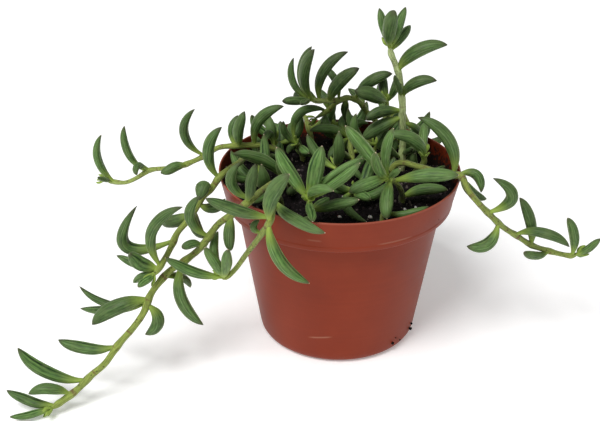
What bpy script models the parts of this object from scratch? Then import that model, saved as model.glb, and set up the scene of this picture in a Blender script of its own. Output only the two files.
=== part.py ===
"""Potted string of bananas: a fleshy trailing succulent in a thin plastic nursery pot.

The origin is under the middle of the pot's base, +Z is up and -Y is the side that the photograph shows.
Sizes below are in millimetres, and every mesh is written in metres.
"""

import math
import random

import bpy
import numpy as np

MM = 0.001

# Pot: a tapered cup with a wide collar round its mouth
POT_HEIGHT = 79.0
POT_RIM_RADIUS = 52.5
POT_COLLAR_HEIGHT = 15.0
POT_COLLAR_FOOT_RADIUS = 49.3
POT_BODY_TOP_RADIUS = 45.0
POT_BASE_RADIUS = 35.2
POT_CORNER_RADIUS = 4.0
POT_WALL = 0.9
POT_RIM_BEVEL = 0.5
POT_LEDGE_DROP = 0.8
POT_SIDES = 36
DRAIN_HOLES = 6
DRAIN_RADIUS = 3.0
DRAIN_CIRCLE_RADIUS = 25.0
DRAIN_SIDES = 10
COLLAR_FOOT = POT_HEIGHT - POT_COLLAR_HEIGHT

# Soil: a filled plug with a low uneven top and a plain hole for each stem
SOIL_LEVEL = 69.0
SOIL_SIDES = 24
SOIL_RINGS = (12.0, 24.0, 35.0, 44.0)
SOIL_EDGE_DROP = 0.8
SOIL_HOLE_DEPTH = 9.0
STEM_HOLE_SIDES = 6
STEM_HOLE_GAP = 0.7
FIT_GAP = 0.35

# Stems and leaves
STEM_SIDES = 6
STEM_STEP = 7.0
FINE_STEP = 1.0
ROOT_DEPTH = 8.4
STRAIGHT_RISE = 2.0
LEAF_SIDES = 5
LEAF_RINGS = ((0.0, 0.32), (0.16, 0.64), (0.38, 1.0), (0.66, 0.96), (0.89, 0.58))
SMALL_LEAF_LENGTH = 14.5
SMALL_LEAF_RINGS = ((0.0, 0.36), (0.3, 1.0), (0.78, 0.86))
LEAF_FLATNESS = 0.9
# A ring of few sides is this much wider than the round leaf, so that the two have the same outline
RING_EXCESS = 1.13
LEAF_CHECKS = 14
LEAF_SUNK_PART = 0.12
OWN_CLEARANCE = 0.1
CLEARANCE = 0.5
FLOOR_GAP = 0.4
TURNS = (0, 12, -12, 24, -24, 38, -38, 55, -55)
LEANS = (0, 3, -3, 6, -6, 9, -9, 12, -12)
SHORTENINGS = (1.0, 0.85, 0.7)
# A leaf leans away from or towards the front along this line
LEAN_LINE = np.array([0.0, 0.88, -0.47])
SIDES = {"L": (-1, 0, 0), "R": (1, 0, 0), "F": (0, -1, 0), "B": (0, 1, 0), "U": (0, 0, 1), "D": (0, 0, -1)}

# Each stem: its thickness at the root and at the tip, then its route from where it leaves the soil
ROUTES = {
    "stem_left_high": (1.4, 1.0, [
        (-25, 21, 72), (-27, 19, 77), (-35, 14, 82), (-42, 12, 83), (-48, 11, 83), (-54, 11, 82),
        (-60, 11, 78), (-67, 12, 74), (-74, 15, 70), (-81, 20, 67), (-88, 24, 64), (-94, 24, 60),
        (-100, 25, 57), (-107, 28, 56), (-111, 30, 56)]),
    "stem_left_long": (1.5, 1.5, [
        (-21, -6, 72), (-22, -10, 77), (-29, -26, 82), (-34, -38, 83), (-38, -44, 82), (-44, -44, 77),
        (-49, -42, 72), (-53, -42, 66), (-57, -41, 60), (-63, -40, 54), (-70, -41, 49), (-75, -44, 44),
        (-78, -47, 40), (-80, -51, 35), (-84, -55, 30), (-90, -59, 24), (-95, -64, 18), (-101, -66, 13),
        (-106, -70, 9), (-111, -73, 6), (-116, -77, 4)]),
    "stem_left_mid": (1.6, 1.3, [
        (-36, 18, 72), (-37, 15, 76), (-41, 7, 80), (-43, -6, 83), (-46, -14, 84), (-50, -20, 83),
        (-53, -22, 79), (-57, -23, 75), (-60, -26, 71), (-63, -30, 67), (-67, -33, 63), (-69, -36, 59),
        (-71, -41, 56), (-73, -46, 54), (-75, -50, 52)]),
    "stem_front_left": (1.5, 1.1, [
        (-24, -22, 72), (-25, -28, 78), (-26, -42, 83), (-26, -53, 84), (-27, -56, 81), (-31, -53, 73),
        (-37, -48, 62), (-42, -45, 53), (-46, -45, 49), (-49, -44, 49)]),
    "stem_right": (1.55, 1.2, [
        (22, 6, 72), (24, 6, 77), (28, 5, 79), (33, 2, 79), (38, -1, 79), (44, -5, 79), (48, -11, 81),
        (51, -16, 83), (54, -22, 79), (58, -22, 74), (63, -20, 68), (70, -17, 60), (77, -14, 54), (84, -11, 48),
        (91, -8, 44), (98, -6, 41), (104, -4, 39), (107, -3, 40)]),
    "stem_back_arch": (1.5, 1.1, [
        (24, 31, 71), (23, 35, 78), (13, 38, 88), (10, 36, 93), (7, 33, 97), (3, 30, 99), (-1, 27, 99),
        (-6, 24, 100), (-10, 21, 101), (-14, 18, 103)]),
    "stem_upright": (1.6, 1.35, [
        (28, 18, 72), (28, 18, 80), (28, 17, 87), (27, 16, 95), (27, 15, 102), (26, 14, 109), (25, 13, 116),
        (23, 12, 122), (21, 10, 127), (20, 10, 131)]),
    "stem_rosette_left": (1.4, 1.1, [(-11, -32, 71), (-11, -35, 76), (-12, -38, 80), (-12, -41, 84)]),
    "stem_rosette_right": (1.4, 1.1, [(27, -12, 71), (26, -18, 77), (23, -24, 84), (20, -29, 88)]),
    "stem_mid_left": (1.3, 1.0, [(-17, 27, 71), (-18, 25, 75), (-19, 22, 79), (-20, 18, 82)]),
    "stem_mid_right": (1.4, 1.1, [(33, 9, 71), (35, 7, 75), (37, 5, 80), (37, 3, 84)]),
    "stem_mid_back": (1.3, 1.0, [(6, 24, 71), (5, 27, 75), (4, 31, 79)]),
}

# Side branches: they grow from a stem's route and belong to its node
BRANCHES = {
    "stem_back_arch": {
        "fork": (1.2, 1.0, [(3, 30, 99), (-2, 31, 96), (-5, 33, 92), (-8, 35, 89), (-12, 36, 86)]),
        "back": (1.2, 1.0, [(20, 37, 82), (22, 33, 88), (21, 30, 94), (21, 30, 99)]),
    },
}

# Leaves placed one by one. Each is: how far along its stem or branch it grows, the way from there to its tip,
# the sides that it bows towards, how far it bows, and its width
LEAVES = {
    "stem_left_high": [
        (45, (-3, -4, 24), "L", 7, 4.8), (81, (-9, 2, 22), "L", 4, 4.4), (79, (-4, -8, 1), "LBU", 4, 3.8),
        (55, (-11, -6, -2), "FU", 1, 4.6), (99, (-4, -2, 25), "L", 5, 4.4), (101, (-4, -5, 4), "", 0, 2.7),
        (21, (13, -3, 20), "LU", 5, 6.0), (28, (3, -4, 18), "LF", 2, 5.4), (30, (1, 6, 12), "LB", 2, 5.0),
        (11, (-4, -6, 5), "BU", 6, 3.8), (3, (-10, 3, 15), "LD", 9, 3.0)],
    "stem_left_long": [
        (41, (-4, -2, 17), "L", 6, 5.0), (44, (4, -6, 20), "F", 1, 4.4), (52, (-1, 0, -17), "L", 1, 5.8),
        (68, (-2, -5, 21), "L", 6, 5.2), (73, (-8, -5, 1), "LBU", 1, 4.2), (85, (7, -4, -29), "L", 6, 6.4),
        (108, (-23, -6, -9), "U", 3, 7.4), (109, (-30, 8, 2), "D", 6, 3.6), (109, (-33, 6, -9), "D", 2, 4.6),
        (110, (-1, -3, -13), "R", 5, 6.4), (131, (-25, 2, 1), "D", 3, 5.6),
        (150, (-28, 3, 13), "LD", 5, 5.8), (159, (-16, -4, 3), "U", 3, 5.0),
        (166, (-21, 4, 4), "D", 2, 4.6), (168, (-16, -3, -2), "", 1, 3.4), (97, (9, 6, -9), "U", 3, 4.0),
        (3, (-23, -12, 19), "BU", 4, 5.8), (11, (0, 2, 12), "L", 2, 3.8), (12, (-5, -4, 2), "", 0, 2.8),
        (23, (-9, 3, -10), "RD", 2, 3.8)],
    "stem_left_mid": [
        (46, (2, 0, 23), "L", 5, 5.8), (53, (-3, -9, 0), "U", 4, 5.8), (60, (13, 9, -2), "D", 4, 5.0),
        (63, (3, 4, -16), "L", 2, 5.6), (79, (-14, -2, 17), "LD", 17, 6.0), (92, (11, -3, 29), "L", 8, 5.6),
        (66, (-13, 4, -7), "LF", 1, 5.4), (94, (-10, -5, 10), "LBD", 3, 6.0),
        (95, (-18, 3, 5), "BD", 1, 3.4), (96, (-11, -1, -5), "LBU", 1, 3.6),
        (96, (-6, -6, -3), "", 0, 3.4)],
    "stem_front_left": [
        (40, (8, -6, 23), "L", 3, 7.0), (39, (-25, -2, 9), "", 1, 5.4), (41, (16, -4, -25), "LD", 5, 5.6),
        (48, (-1, -4, 8), "L", 3, 3.4), (81, (-7, -5, 17), "", 0, 5.4), (81, (-3, 3, 20), "L", 3, 4.6),
        (81, (3, -4, 16), "", 0, 4.6), (82, (-23, -2, 10), "LD", 2, 4.9),
        (23, (21, -15, -6), "LF", 3, 5.2)],
    "stem_right": [
        (38, (-16, 3, 25), "RU", 6, 6.8), (41, (10, -4, -6), "RBU", 5, 5.0),
        (44, (12, -6, -7), "LFD", 2, 4.8), (66, (1, 0, 16), "R", 9, 6.0), (74, (-13, -5, -9), "RD", 5, 6.0),
        (97, (-7, 0, 23), "R", 2, 5.9), (86, (22, -8, -1), "U", 4, 5.0), (108, (-13, -8, 4), "D", 2, 4.4),
        (120, (-4, 0, 19), "R", 2, 5.3), (122, (9, -3, 10), "RD", 1, 3.8), (122, (5, -3, 1), "", 0, 2.7)],
    "stem_back_arch": [
        (61, (-7, 3, 18), "L", 4, 4.0), (61, (1, -2, 25), "L", 4, 4.6), (59, (1, -7, 24), "L", 4, 5.8),
        (55, (12, 0, 23), "LU", 5, 5.6), (50, (13, -7, 18), "LU", 2, 7.2), (45, (-8, 8, 13), "RU", 3, 4.0),
        (57, (-12, -6, 6), "RU", 2, 6.4), (59, (-13, -2, -1), "", 0, 4.6), (41, (0, 3, -12), "", 0, 3.6),
        (35, (16, -4, 14), "LU", 3, 6.0), (28, (-7, 9, 5), "B", 3, 4.0), (64, (-3, -6, -1), "", 0, 2.8)],
    "stem_back_arch.fork": [
        (14, (-14, -6, -5), "LU", 5, 4.0), (12, (-6, 10, 6), "U", 2, 4.0)],
    "stem_back_arch.back": [
        (18, (-15, -3, 5), "RFU", 1, 6.6), (19, (-2, 2, 13), "L", 1, 5.4), (18, (4, -1, 13), "R", 1, 4.4)],
    "stem_upright": [
        (60, (-5, 5, 16), "", 0, 4.2), (61, (1, -5, 16), "L", 1, 7.0), (60, (6, 4, 17), "", 0, 4.4),
        (59, (10, 0, 16), "", 0, 4.6), (48, (20, -3, 13), "LU", 4, 6.6), (34, (14, -6, 11), "LU", 4, 5.4),
        (35, (-4, -6, 12), "", 0, 2.8), (28, (-16, -6, -2), "LBU", 2, 5.6),
        (25, (-17, -11, -5), "U", 1, 6.6), (22, (8, 8, -10), "R", 3, 3.8), (6, (4, -6, 5), "", 0, 3.2)],
    "stem_rosette_right": [
        (26, (-18, 2, 22), "", 0, 6.6), (26, (1, 3, 20), "L", 2, 5.0), (26, (-6, -7, 14), "L", 2, 4.8),
        (26, (-16, -8, -3), "U", 1, 5.8), (23, (-2, -9, -17), "L", 1, 6.6), (20, (26, -4, 5), "U", 1, 6.6),
        (26, (4, -6, 7), "", 0, 3.2), (0, (27, -5, 8), "U", 3, 5.6)],
    "stem_rosette_left": [
        (17, (-13, 3, 21), "D", 1, 6.0), (17, (5, 3, 22), "", 0, 7.0), (17, (10, -5, 6), "LU", 3, 4.2),
        (6, (7, 6, 3), "", 0, 3.8), (6, (19, -9, 10), "", 0, 5.4), (16, (2, -13, -3), "", 0, 3.6),
        (17, (21, 5, 16), "LU", 2, 3.2), (17, (20, 2, 15), "RFD", 1, 4.6)],
    "stem_mid_left": [
        (14, (13, 4, 15), "LU", 8, 4.6), (15, (-5, -4, 12), "L", 2, 3.8), (13, (-3, 4, 9), "LF", 1, 3.4),
        (9, (5, -8, 0), "", 0, 3.8), (7, (-5, -8, 1), "LBU", 2, 3.6)],
    "stem_mid_right": [
        (9, (-17, -5, 15), "RU", 6, 6.2), (15, (-1, 9, 12), "L", 1, 5.0)],
    "stem_mid_back": [
        (11, (-18, -4, 5), "U", 3, 4.8), (11, (-9, -10, -6), "LU", 1, 4.6), (11, (3, 8, 7), "LU", 6, 3.8),
        (11, (9, 5, 5), "LU", 4, 3.8)],
    "sprig_rim": [
        (4, (18, 0, 3), "FD", 2, 4.0)],
    "sprig_centre": [
        (0, (-7, -4, 1), "", 0, 3.2), (2, (-2, 2, 4), "", 0, 3.4), (1, (11, -4, 0), "U", 4, 3.8)],
    "sprig_front": [
        (5, (5, -14, -7), "LF", 7, 4.0), (4, (7, -4, -1), "", 0, 4.4), (5, (-10, 2, 0), "", 0, 4.0),
        (5, (6, 2, 2), "", 0, 3.8)],
}

# Trailing stems at the back and short sprigs in the crown, whose leaves follow the spiral rule
BACK_ROUTES = {
    "stem_back_right": (1.4, 1.0, [
        (13, 38, 71), (18, 44, 80), (24, 48, 83), (29, 53, 82), (32, 58, 76), (34, 60, 66), (37, 60, 54),
        (41, 60, 43), (44, 62, 34)]),
    "stem_back_left": (1.4, 1.0, [
        (-12, 34, 71), (-14, 40, 77), (-16, 46, 81), (-17, 50, 81), (-19, 54, 78), (-21, 56, 70),
        (-23, 57, 60), (-24, 57, 51), (-26, 59, 43)]),
}
SPRIGS = {
    "sprig_back": (-2, 38, 8, 5),
    "sprig_centre_back": (15, 22, 7, 5),
    "sprig_far_left": (-28, 28, 8, 5),
    "sprig_left": (-33, -6, 6, 4),
    "sprig_front": (6, -15, 6, 3),
    "sprig_right": (24, 25, 8, 5),
    "sprig_centre": (-1, 5, 6, 3),
    "sprig_rim": (18, -31, 6, 0),
}
SPIRAL_STEP = math.radians(137.5)
SPIRAL_SPACING = 8.5
SPRIG_SPACING = 2.2
SPRIG_FIRST = 2.0
SPRIG_THICKNESS = (1.3, 1.0)
SPRIG_LEAN = 0.35
BACK_FIRST = 12.0
BACK_LEAVES = 9
# Ranges of a rule leaf's length, sag and width: full-grown, and small round a stem's foot
GROWN_LEAF = ((16.0, 23.0), (2.5, 5.0), (4.2, 5.6))
FOOT_LEAF = ((8.0, 13.0), (1.0, 2.5), (3.2, 4.4))
FOOT_FIRST = 1.5
FOOT_SPACING = 2.5
FOOT_LEAVES = {
    "stem_left_high": 2, "stem_left_long": 1, "stem_right": 2, "stem_back_arch": 3, "stem_upright": 3,
    "stem_mid_left": 2, "stem_mid_right": 2, "stem_mid_back": 3,
    "stem_rosette_left": 1}
RULE_FORWARD = 0.45
RULE_LIFT = 0.5
LEAF_SEED = 42

# Base colours
POT_COLOUR = (0.278, 0.054, 0.032)
SOIL_COLOUR = (0.022, 0.014, 0.011)
LEAF_COLOUR = (0.065, 0.158, 0.036)


def material(name, colour, roughness):
    made = bpy.data.materials.new(name)
    made.use_nodes = True
    shader = made.node_tree.nodes["Principled BSDF"]
    shader.inputs["Base Color"].default_value = (*colour, 1.0)
    shader.inputs["Roughness"].default_value = roughness
    return made


def mesh_object(name, points, faces, finish=None):
    """A closed mesh from points in millimetres, shaded smooth with its sharp edges kept."""
    mesh = bpy.data.meshes.new(name)
    mesh.from_pydata([tuple(MM * value for value in point) for point in points], [], faces)
    mesh.shade_smooth()
    mesh.set_sharp_from_angle(angle=math.radians(50))
    made = bpy.data.objects.new(name, mesh)
    if finish:
        mesh.materials.append(finish)
    bpy.context.scene.collection.objects.link(made)
    return made


def remove_object(doomed):
    mesh = doomed.data
    bpy.data.objects.remove(doomed)
    bpy.data.meshes.remove(mesh)


def combine(target, tools, operation):
    """Applies one Boolean of all the tools to the target, then removes the tools."""
    group = bpy.data.collections.new("boolean_tools")
    bpy.context.scene.collection.children.link(group)
    for tool in tools:
        bpy.context.scene.collection.objects.unlink(tool)
        group.objects.link(tool)
    modifier = target.modifiers.new("combine", "BOOLEAN")
    modifier.operation = operation
    modifier.operand_type = "COLLECTION"
    modifier.collection = group
    modifier.solver = "EXACT"
    bpy.context.view_layer.update()
    graph = bpy.context.evaluated_depsgraph_get()
    combined = bpy.data.meshes.new_from_object(target.evaluated_get(graph))
    target.modifiers.clear()
    old = target.data
    target.data = combined
    bpy.data.meshes.remove(old)
    for tool in tools:
        remove_object(tool)
    bpy.data.collections.remove(group)


def turned(profile, sides):
    """Points and faces of a profile turned round Z. The profile starts and ends on the axis."""
    points = [(0.0, 0.0, profile[0][1]), (0.0, 0.0, profile[-1][1])]
    rings = profile[1:-1]
    for radius, height in rings:
        for side in range(sides):
            angle = 2 * math.pi * side / sides
            points.append((radius * math.cos(angle), radius * math.sin(angle), height))
    faces = []
    for side in range(sides):
        after = (side + 1) % sides
        faces.append((0, 2 + after, 2 + side))
        last = 2 + (len(rings) - 1) * sides
        faces.append((1, last + side, last + after))
        for ring in range(len(rings) - 1):
            low = 2 + ring * sides
            high = low + sides
            faces.append((low + side, low + after, high + after, high + side))
    return points, faces


def pot_corner():
    """The rounded edge between the pot's flat base and its side, as (radius, height)."""
    flat = POT_BASE_RADIUS - POT_CORNER_RADIUS
    wall_slope = math.atan2(POT_BODY_TOP_RADIUS - POT_BASE_RADIUS, POT_HEIGHT - POT_COLLAR_HEIGHT)
    turns = np.linspace(0.0, math.pi / 2 - wall_slope, 4)
    return [
        (flat + POT_CORNER_RADIUS * math.sin(turn), POT_CORNER_RADIUS * (1 - math.cos(turn)))
        for turn in turns
    ]


def pot_outline():
    """The pot's outer side from the edge of its flat base up to its rim, as (radius, height)."""
    return [
        *pot_corner(),
        (POT_BODY_TOP_RADIUS, COLLAR_FOOT - POT_LEDGE_DROP),
        (POT_COLLAR_FOOT_RADIUS, COLLAR_FOOT),
        (POT_RIM_RADIUS, POT_HEIGHT - POT_RIM_BEVEL),
        (POT_RIM_RADIUS - POT_RIM_BEVEL, POT_HEIGHT),
    ]


def make_pot(finish):
    inside = [(radius - POT_WALL, height + POT_WALL) for radius, height in pot_corner()] + [
        (POT_BODY_TOP_RADIUS - POT_WALL, COLLAR_FOOT - POT_LEDGE_DROP),
        (POT_COLLAR_FOOT_RADIUS - POT_WALL, COLLAR_FOOT + POT_WALL),
        (POT_RIM_RADIUS - POT_RIM_BEVEL - POT_WALL, POT_HEIGHT),
    ]
    profile = [(0.0, 0.0), *pot_outline(), *reversed(inside), (0.0, POT_WALL)]
    pot = mesh_object("pot", *turned(profile, POT_SIDES), finish)
    drills = []
    for hole in range(DRAIN_HOLES):
        angle = 2 * math.pi * (hole + 0.5) / DRAIN_HOLES
        place = (DRAIN_CIRCLE_RADIUS * math.cos(angle), DRAIN_CIRCLE_RADIUS * math.sin(angle))
        drills.append(rod("drain", place, -DRAIN_RADIUS, POT_WALL + DRAIN_RADIUS, DRAIN_RADIUS, DRAIN_SIDES))
    combine(pot, drills, "DIFFERENCE")
    return pot


def rod(name, place, low, high, radius, sides):
    profile = [(0.0, low), (radius, low), (radius, high), (0.0, high)]
    points, faces = turned(profile, sides)
    points = [(x + place[0], y + place[1], z) for x, y, z in points]
    return mesh_object(name, points, faces)


def inner_radius(height):
    """The pot's inner radius at a height."""
    outside = pot_outline()
    return float(np.interp(height, [h for _, h in outside], [r for r, _ in outside])) - POT_WALL


def soil_height(x, y):
    """The uneven top of the soil."""
    swell = 1.0 * math.sin(0.21 * x + 0.7) * math.cos(0.17 * y - 0.4)
    lumps = 0.6 * math.sin(0.43 * x - 0.31 * y + 1.1)
    return SOIL_LEVEL + swell + lumps


def make_soil(stems, finish):
    corner = inner_radius(POT_CORNER_RADIUS)
    side = [
        (corner - POT_CORNER_RADIUS, POT_WALL + FIT_GAP),
        (corner - FIT_GAP, POT_CORNER_RADIUS + POT_WALL),
        (POT_BODY_TOP_RADIUS - POT_WALL - 1.5 * FIT_GAP, COLLAR_FOOT + FIT_GAP),
        (POT_COLLAR_FOOT_RADIUS - POT_WALL - 1.5 * FIT_GAP, COLLAR_FOOT + 2 * POT_WALL),
        (inner_radius(SOIL_LEVEL) - 2 * FIT_GAP, SOIL_LEVEL - SOIL_EDGE_DROP),
    ]
    bottom = (0.0, POT_WALL + FIT_GAP)
    profile = [bottom, *side, *((radius, SOIL_LEVEL) for radius in reversed(SOIL_RINGS)), (0.0, SOIL_LEVEL)]
    points, faces = turned(profile, SOIL_SIDES)
    top = {1} | set(range(2 + len(side) * SOIL_SIDES, len(points)))
    points = [(x, y, soil_height(x, y) if index in top else z) for index, (x, y, z) in enumerate(points)]
    soil = mesh_object("soil", points, faces, finish)
    drills = []
    for thick, _, route in stems:
        x, y, _ = route[0]
        floor = soil_height(x, y) - SOIL_HOLE_DEPTH
        above = SOIL_LEVEL + SOIL_HOLE_DEPTH
        drills.append(rod("stem_hole", (x, y), floor, above, thick + STEM_HOLE_GAP, STEM_HOLE_SIDES))
    combine(soil, drills, "DIFFERENCE")
    return soil


def unit(vector):
    return vector / (np.linalg.norm(vector) + 1e-9)


def square_to(vector, way):
    """The unit part of a vector that is square to a direction."""
    return unit(vector - unit(way) * (vector @ unit(way)))


def smooth_route(route, step):
    """Points at an even step along a smooth curve through the route."""
    knots = [np.array(point, float) for point in route]
    knots = [2 * knots[0] - knots[1], *knots, 2 * knots[-1] - knots[-2]]
    fine = [knots[1]]
    for a, b, c, d in zip(knots, knots[1:], knots[2:], knots[3:]):
        for part in np.linspace(0, 1, 9)[1:]:
            fine.append(0.5 * (2 * b + (c - a) * part + (2 * a - 5 * b + 4 * c - d) * part**2
                               + (3 * b - a - 3 * c + d) * part**3))
    fine = np.array(fine)
    reach = np.concatenate([[0], np.cumsum(np.linalg.norm(np.diff(fine, axis=0), axis=1))])
    count = max(2, round(reach[-1] / step))
    places = np.linspace(0, reach[-1], count + 1)
    return np.stack([np.interp(places, reach, fine[:, axis]) for axis in range(3)], 1), places


def point_along(route, reach):
    line, places = smooth_route(route, FINE_STEP)
    return np.array([np.interp(reach, places, line[:, axis]) for axis in range(3)])


def leaf_line(base, tip, bow, sag, count):
    """The middle line of a crescent leaf, as a cubic curve bowed to one side."""
    part = np.linspace(0, 1, count)[:, None]
    push = bow * sag * 4 / 3
    near = base + 0.28 * (tip - base) + push
    far = base + 0.72 * (tip - base) + push
    back = 1 - part
    return back**3 * base + 3 * back**2 * part * near + 3 * back * part**2 * far + part**3 * tip


def leaf_half_width(part, width):
    places = [ring[0] for ring in LEAF_RINGS] + [1.0]
    shares = [ring[1] for ring in LEAF_RINGS] + [0.0]
    return 0.5 * RING_EXCESS * width * np.interp(part, places, shares)


def bow_direction(letters, tip_way):
    """The unit direction that named sides give, kept square to the leaf's own direction."""
    way = unit(np.array(tip_way, float))
    wanted = sum((np.array(SIDES[letter], float) for letter in letters), np.zeros(3))
    if not letters:
        wanted = np.array([0.0, 0.0, -1.0])
    square = wanted - way * (wanted @ way)
    if np.linalg.norm(square) < 0.2:
        square = np.cross(way, (0.0, 1.0, 0.0))
    return unit(square)


class Space:
    """What is already placed, as balls along each stem and leaf, each with its node's name."""

    def __init__(self):
        self.centres = np.zeros((0, 3))
        self.radii = np.zeros(0)
        self.owners = np.zeros(0, int)
        outline = [(radius - POT_WALL / 2, height) for radius, height in pot_outline()]
        self.wall = np.array(outline)

    def add(self, centres, radii, owner):
        self.centres = np.concatenate([self.centres, centres])
        self.radii = np.concatenate([self.radii, radii])
        self.owners = np.concatenate([self.owners, np.full(len(radii), owner)])

    def clears_others(self, centres, radii, owner, with_own):
        """Whether a new leaf is clear of every other node and, if asked, of its own beyond its root."""
        reach = np.linalg.norm(centres[:, None] - self.centres[None], axis=2)
        room = reach - radii[:, None] - self.radii[None]
        own = self.owners == owner
        if (room[:, ~own] < CLEARANCE).any():
            return False
        outer = len(radii) // 3
        return not (with_own and (room[outer:][:, own] < OWN_CLEARANCE).any())

    def clears_pot(self, centres, radii):
        flat = np.stack([np.hypot(centres[:, 0], centres[:, 1]), centres[:, 2]], 1)
        start, end = self.wall[:-1], self.wall[1:]
        along = end - start
        part = ((flat[:, None] - start) * along).sum(2) / (along**2).sum(1)
        nearest = start + np.clip(part, 0, 1)[..., None] * along
        room = np.linalg.norm(flat[:, None] - nearest, axis=2).min(1) - radii
        if (room < POT_WALL / 2 + CLEARANCE).any():
            return False
        for (x, y, z), radius in zip(centres, radii):
            lowest = z - radius
            if lowest < FLOOR_GAP:
                return False
            if math.hypot(x, y) < POT_RIM_RADIUS and z < POT_HEIGHT:
                if lowest < soil_height(x, y) + CLEARANCE:
                    return False
        return True


def turned_about_up(vector, degrees):
    cosine, sine = math.cos(math.radians(degrees)), math.sin(math.radians(degrees))
    x, y, z = vector
    return np.array([cosine * x - sine * y, sine * x + cosine * y, z])


def leaf_tries():
    """The small changes that a leaf may take to stay clear, the slightest first."""
    tries = [(short, turn, lean) for short in SHORTENINGS for turn in TURNS for lean in LEANS]
    return sorted(tries, key=lambda change: 60 * (1 - change[0]) + abs(change[1]) + 1.2 * abs(change[2]))


def place_leaf(space, owner, base, tip_way, bow_way, sag, width):
    """The leaf's place as (base, tip, bow, sag, width), bent clear of what is there, or None."""
    tip_way = np.array(tip_way, float)
    part = np.linspace(0, 1, LEAF_CHECKS)
    for with_own in (True, False):
        for short, turn, lean in leaf_tries():
            way = turned_about_up(tip_way, turn) * short + lean * LEAN_LINE
            bow = square_to(turned_about_up(bow_way, turn), way)
            line = leaf_line(base, base + way, bow, sag * short, LEAF_CHECKS)
            radii = leaf_half_width(part, width)
            free = part > LEAF_SUNK_PART
            if not space.clears_others(line[free], radii[free], owner, with_own):
                continue
            if space.clears_pot(line[free], radii[free]):
                space.add(line[free], radii[free], owner)
                return base, base + way, bow, sag * short, width
    return None


def leaf_mesh(base, tip, bow, sag, width):
    """Points and faces of one fleshy leaf: rings of few sides, a sunk root and a pointed tip."""
    line = leaf_line(base, tip, bow, sag, 101)
    small = np.linalg.norm(tip - base) < SMALL_LEAF_LENGTH
    shape = SMALL_LEAF_RINGS if small else LEAF_RINGS
    points, faces = [], []
    for part, _ in shape:
        index = round(part * 100)
        ahead = unit(line[min(index + 1, 100)] - line[max(index - 1, 0)])
        thick_way = square_to(bow, ahead)
        wide_way = np.cross(ahead, thick_way)
        half = leaf_half_width(part, width)
        for side in range(LEAF_SIDES):
            angle = 2 * math.pi * (side + 0.25) / LEAF_SIDES
            points.append(line[index] + half * (math.cos(angle) * wide_way
                                                + LEAF_FLATNESS * math.sin(angle) * thick_way))
    points.append(tip)
    rings = len(shape)
    for ring in range(rings):
        for side in range(LEAF_SIDES):
            after = (side + 1) % LEAF_SIDES
            low = ring * LEAF_SIDES
            if ring == rings - 1:
                faces.append((low + side, low + after, len(points) - 1))
            else:
                high = low + LEAF_SIDES
                faces.append((low + side, low + after, high + after, high + side))
    faces.append(tuple(reversed(range(LEAF_SIDES))))
    return points, faces


def tube_mesh(line, radii):
    """Points and faces of a stem along its line, closed by a flat root and a rounded tip."""
    points, faces = [], []
    across = np.array([1.0, 0.0, 0.0])
    for index, centre in enumerate(line):
        ahead = unit(line[min(index + 1, len(line) - 1)] - line[max(index - 1, 0)])
        across = square_to(across, ahead)
        other = np.cross(ahead, across)
        for side in range(STEM_SIDES):
            angle = 2 * math.pi * side / STEM_SIDES
            points.append(centre + radii[index] * (math.cos(angle) * across + math.sin(angle) * other))
    points.append(line[-1] + radii[-1] * unit(line[-1] - line[-2]))
    for ring in range(len(line)):
        low = ring * STEM_SIDES
        for side in range(STEM_SIDES):
            after = (side + 1) % STEM_SIDES
            if ring == len(line) - 1:
                faces.append((low + side, low + after, len(points) - 1))
            else:
                high = low + STEM_SIDES
                faces.append((low + side, low + after, high + after, high + side))
    faces.append(tuple(reversed(range(STEM_SIDES))))
    return points, faces


def rooted(route):
    """The route with its buried end added, straight down in the soil."""
    x, y, _ = route[0]
    ground = soil_height(x, y)
    return [(x, y, ground - ROOT_DEPTH), (x, y, ground - ROOT_DEPTH / 2), *route]


def sprig_route(x, y, height):
    """A short stem that leans a little outwards as it rises."""
    ground = soil_height(x, y)
    lean = SPRIG_LEAN * np.array([x, y]) / (math.hypot(x, y) + 1e-9)
    return [
        (x, y, ground + STRAIGHT_RISE),
        (x + lean[0] * height / 3, y + lean[1] * height / 3, ground + STRAIGHT_RISE + height / 2),
        (x + lean[0] * height, y + lean[1] * height, ground + STRAIGHT_RISE + height),
    ]


def spiral_leaves(route, first, count, spacing, ranges, draw):
    """Leaves by rule: one after another round the stem, each curving up towards the light."""
    line, places = smooth_route(route, FINE_STEP)
    lengths, sags, widths = ranges
    leaves = []
    turn = draw.uniform(0, 2 * math.pi)
    for number in range(count):
        reach = min(first + number * spacing, places[-1])
        index = int(np.searchsorted(places, reach))
        ahead = unit(line[min(index + 1, len(line) - 1)] - line[max(index - 2, 0)])
        side = square_to(np.array([0.6, 0.8, 0.1]), ahead)
        out = math.cos(turn) * side + math.sin(turn) * np.cross(ahead, side)
        length = draw.uniform(*lengths)
        way = unit(out + RULE_FORWARD * ahead + np.array([0, 0, RULE_LIFT])) * length
        low_side = unit(np.array([out[0], out[1], -RULE_LIFT]))
        leaves.append((reach, way, low_side, draw.uniform(*sags), draw.uniform(*widths)))
        turn += SPIRAL_STEP
    return leaves


def all_stems():
    """Every stem's (thick, thin, route), the sprigs' too, by node. A route starts just over the soil."""
    stems = {}
    for name, (thick, thin, route) in {**ROUTES, **BACK_ROUTES}.items():
        x, y, _ = route[0]
        stems[name] = (thick, thin, [(x, y, soil_height(x, y) + STRAIGHT_RISE), *route[1:]])
    for name, (x, y, height, _) in SPRIGS.items():
        stems[name] = (*SPRIG_THICKNESS, sprig_route(x, y, height))
    return stems


def stem_tubes(name, stems):
    """The lines and radii of a node's stem and branches."""
    thick, thin, route = stems[name]
    line, _ = smooth_route(rooted(route), STEM_STEP)
    tubes = [(line, np.linspace(thick, thin, len(line)))]
    for thick, thin, route in BRANCHES.get(name, {}).values():
        line, _ = smooth_route(route, STEM_STEP)
        tubes.append((line, np.linspace(thick, thin, len(line))))
    return tubes


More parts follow.
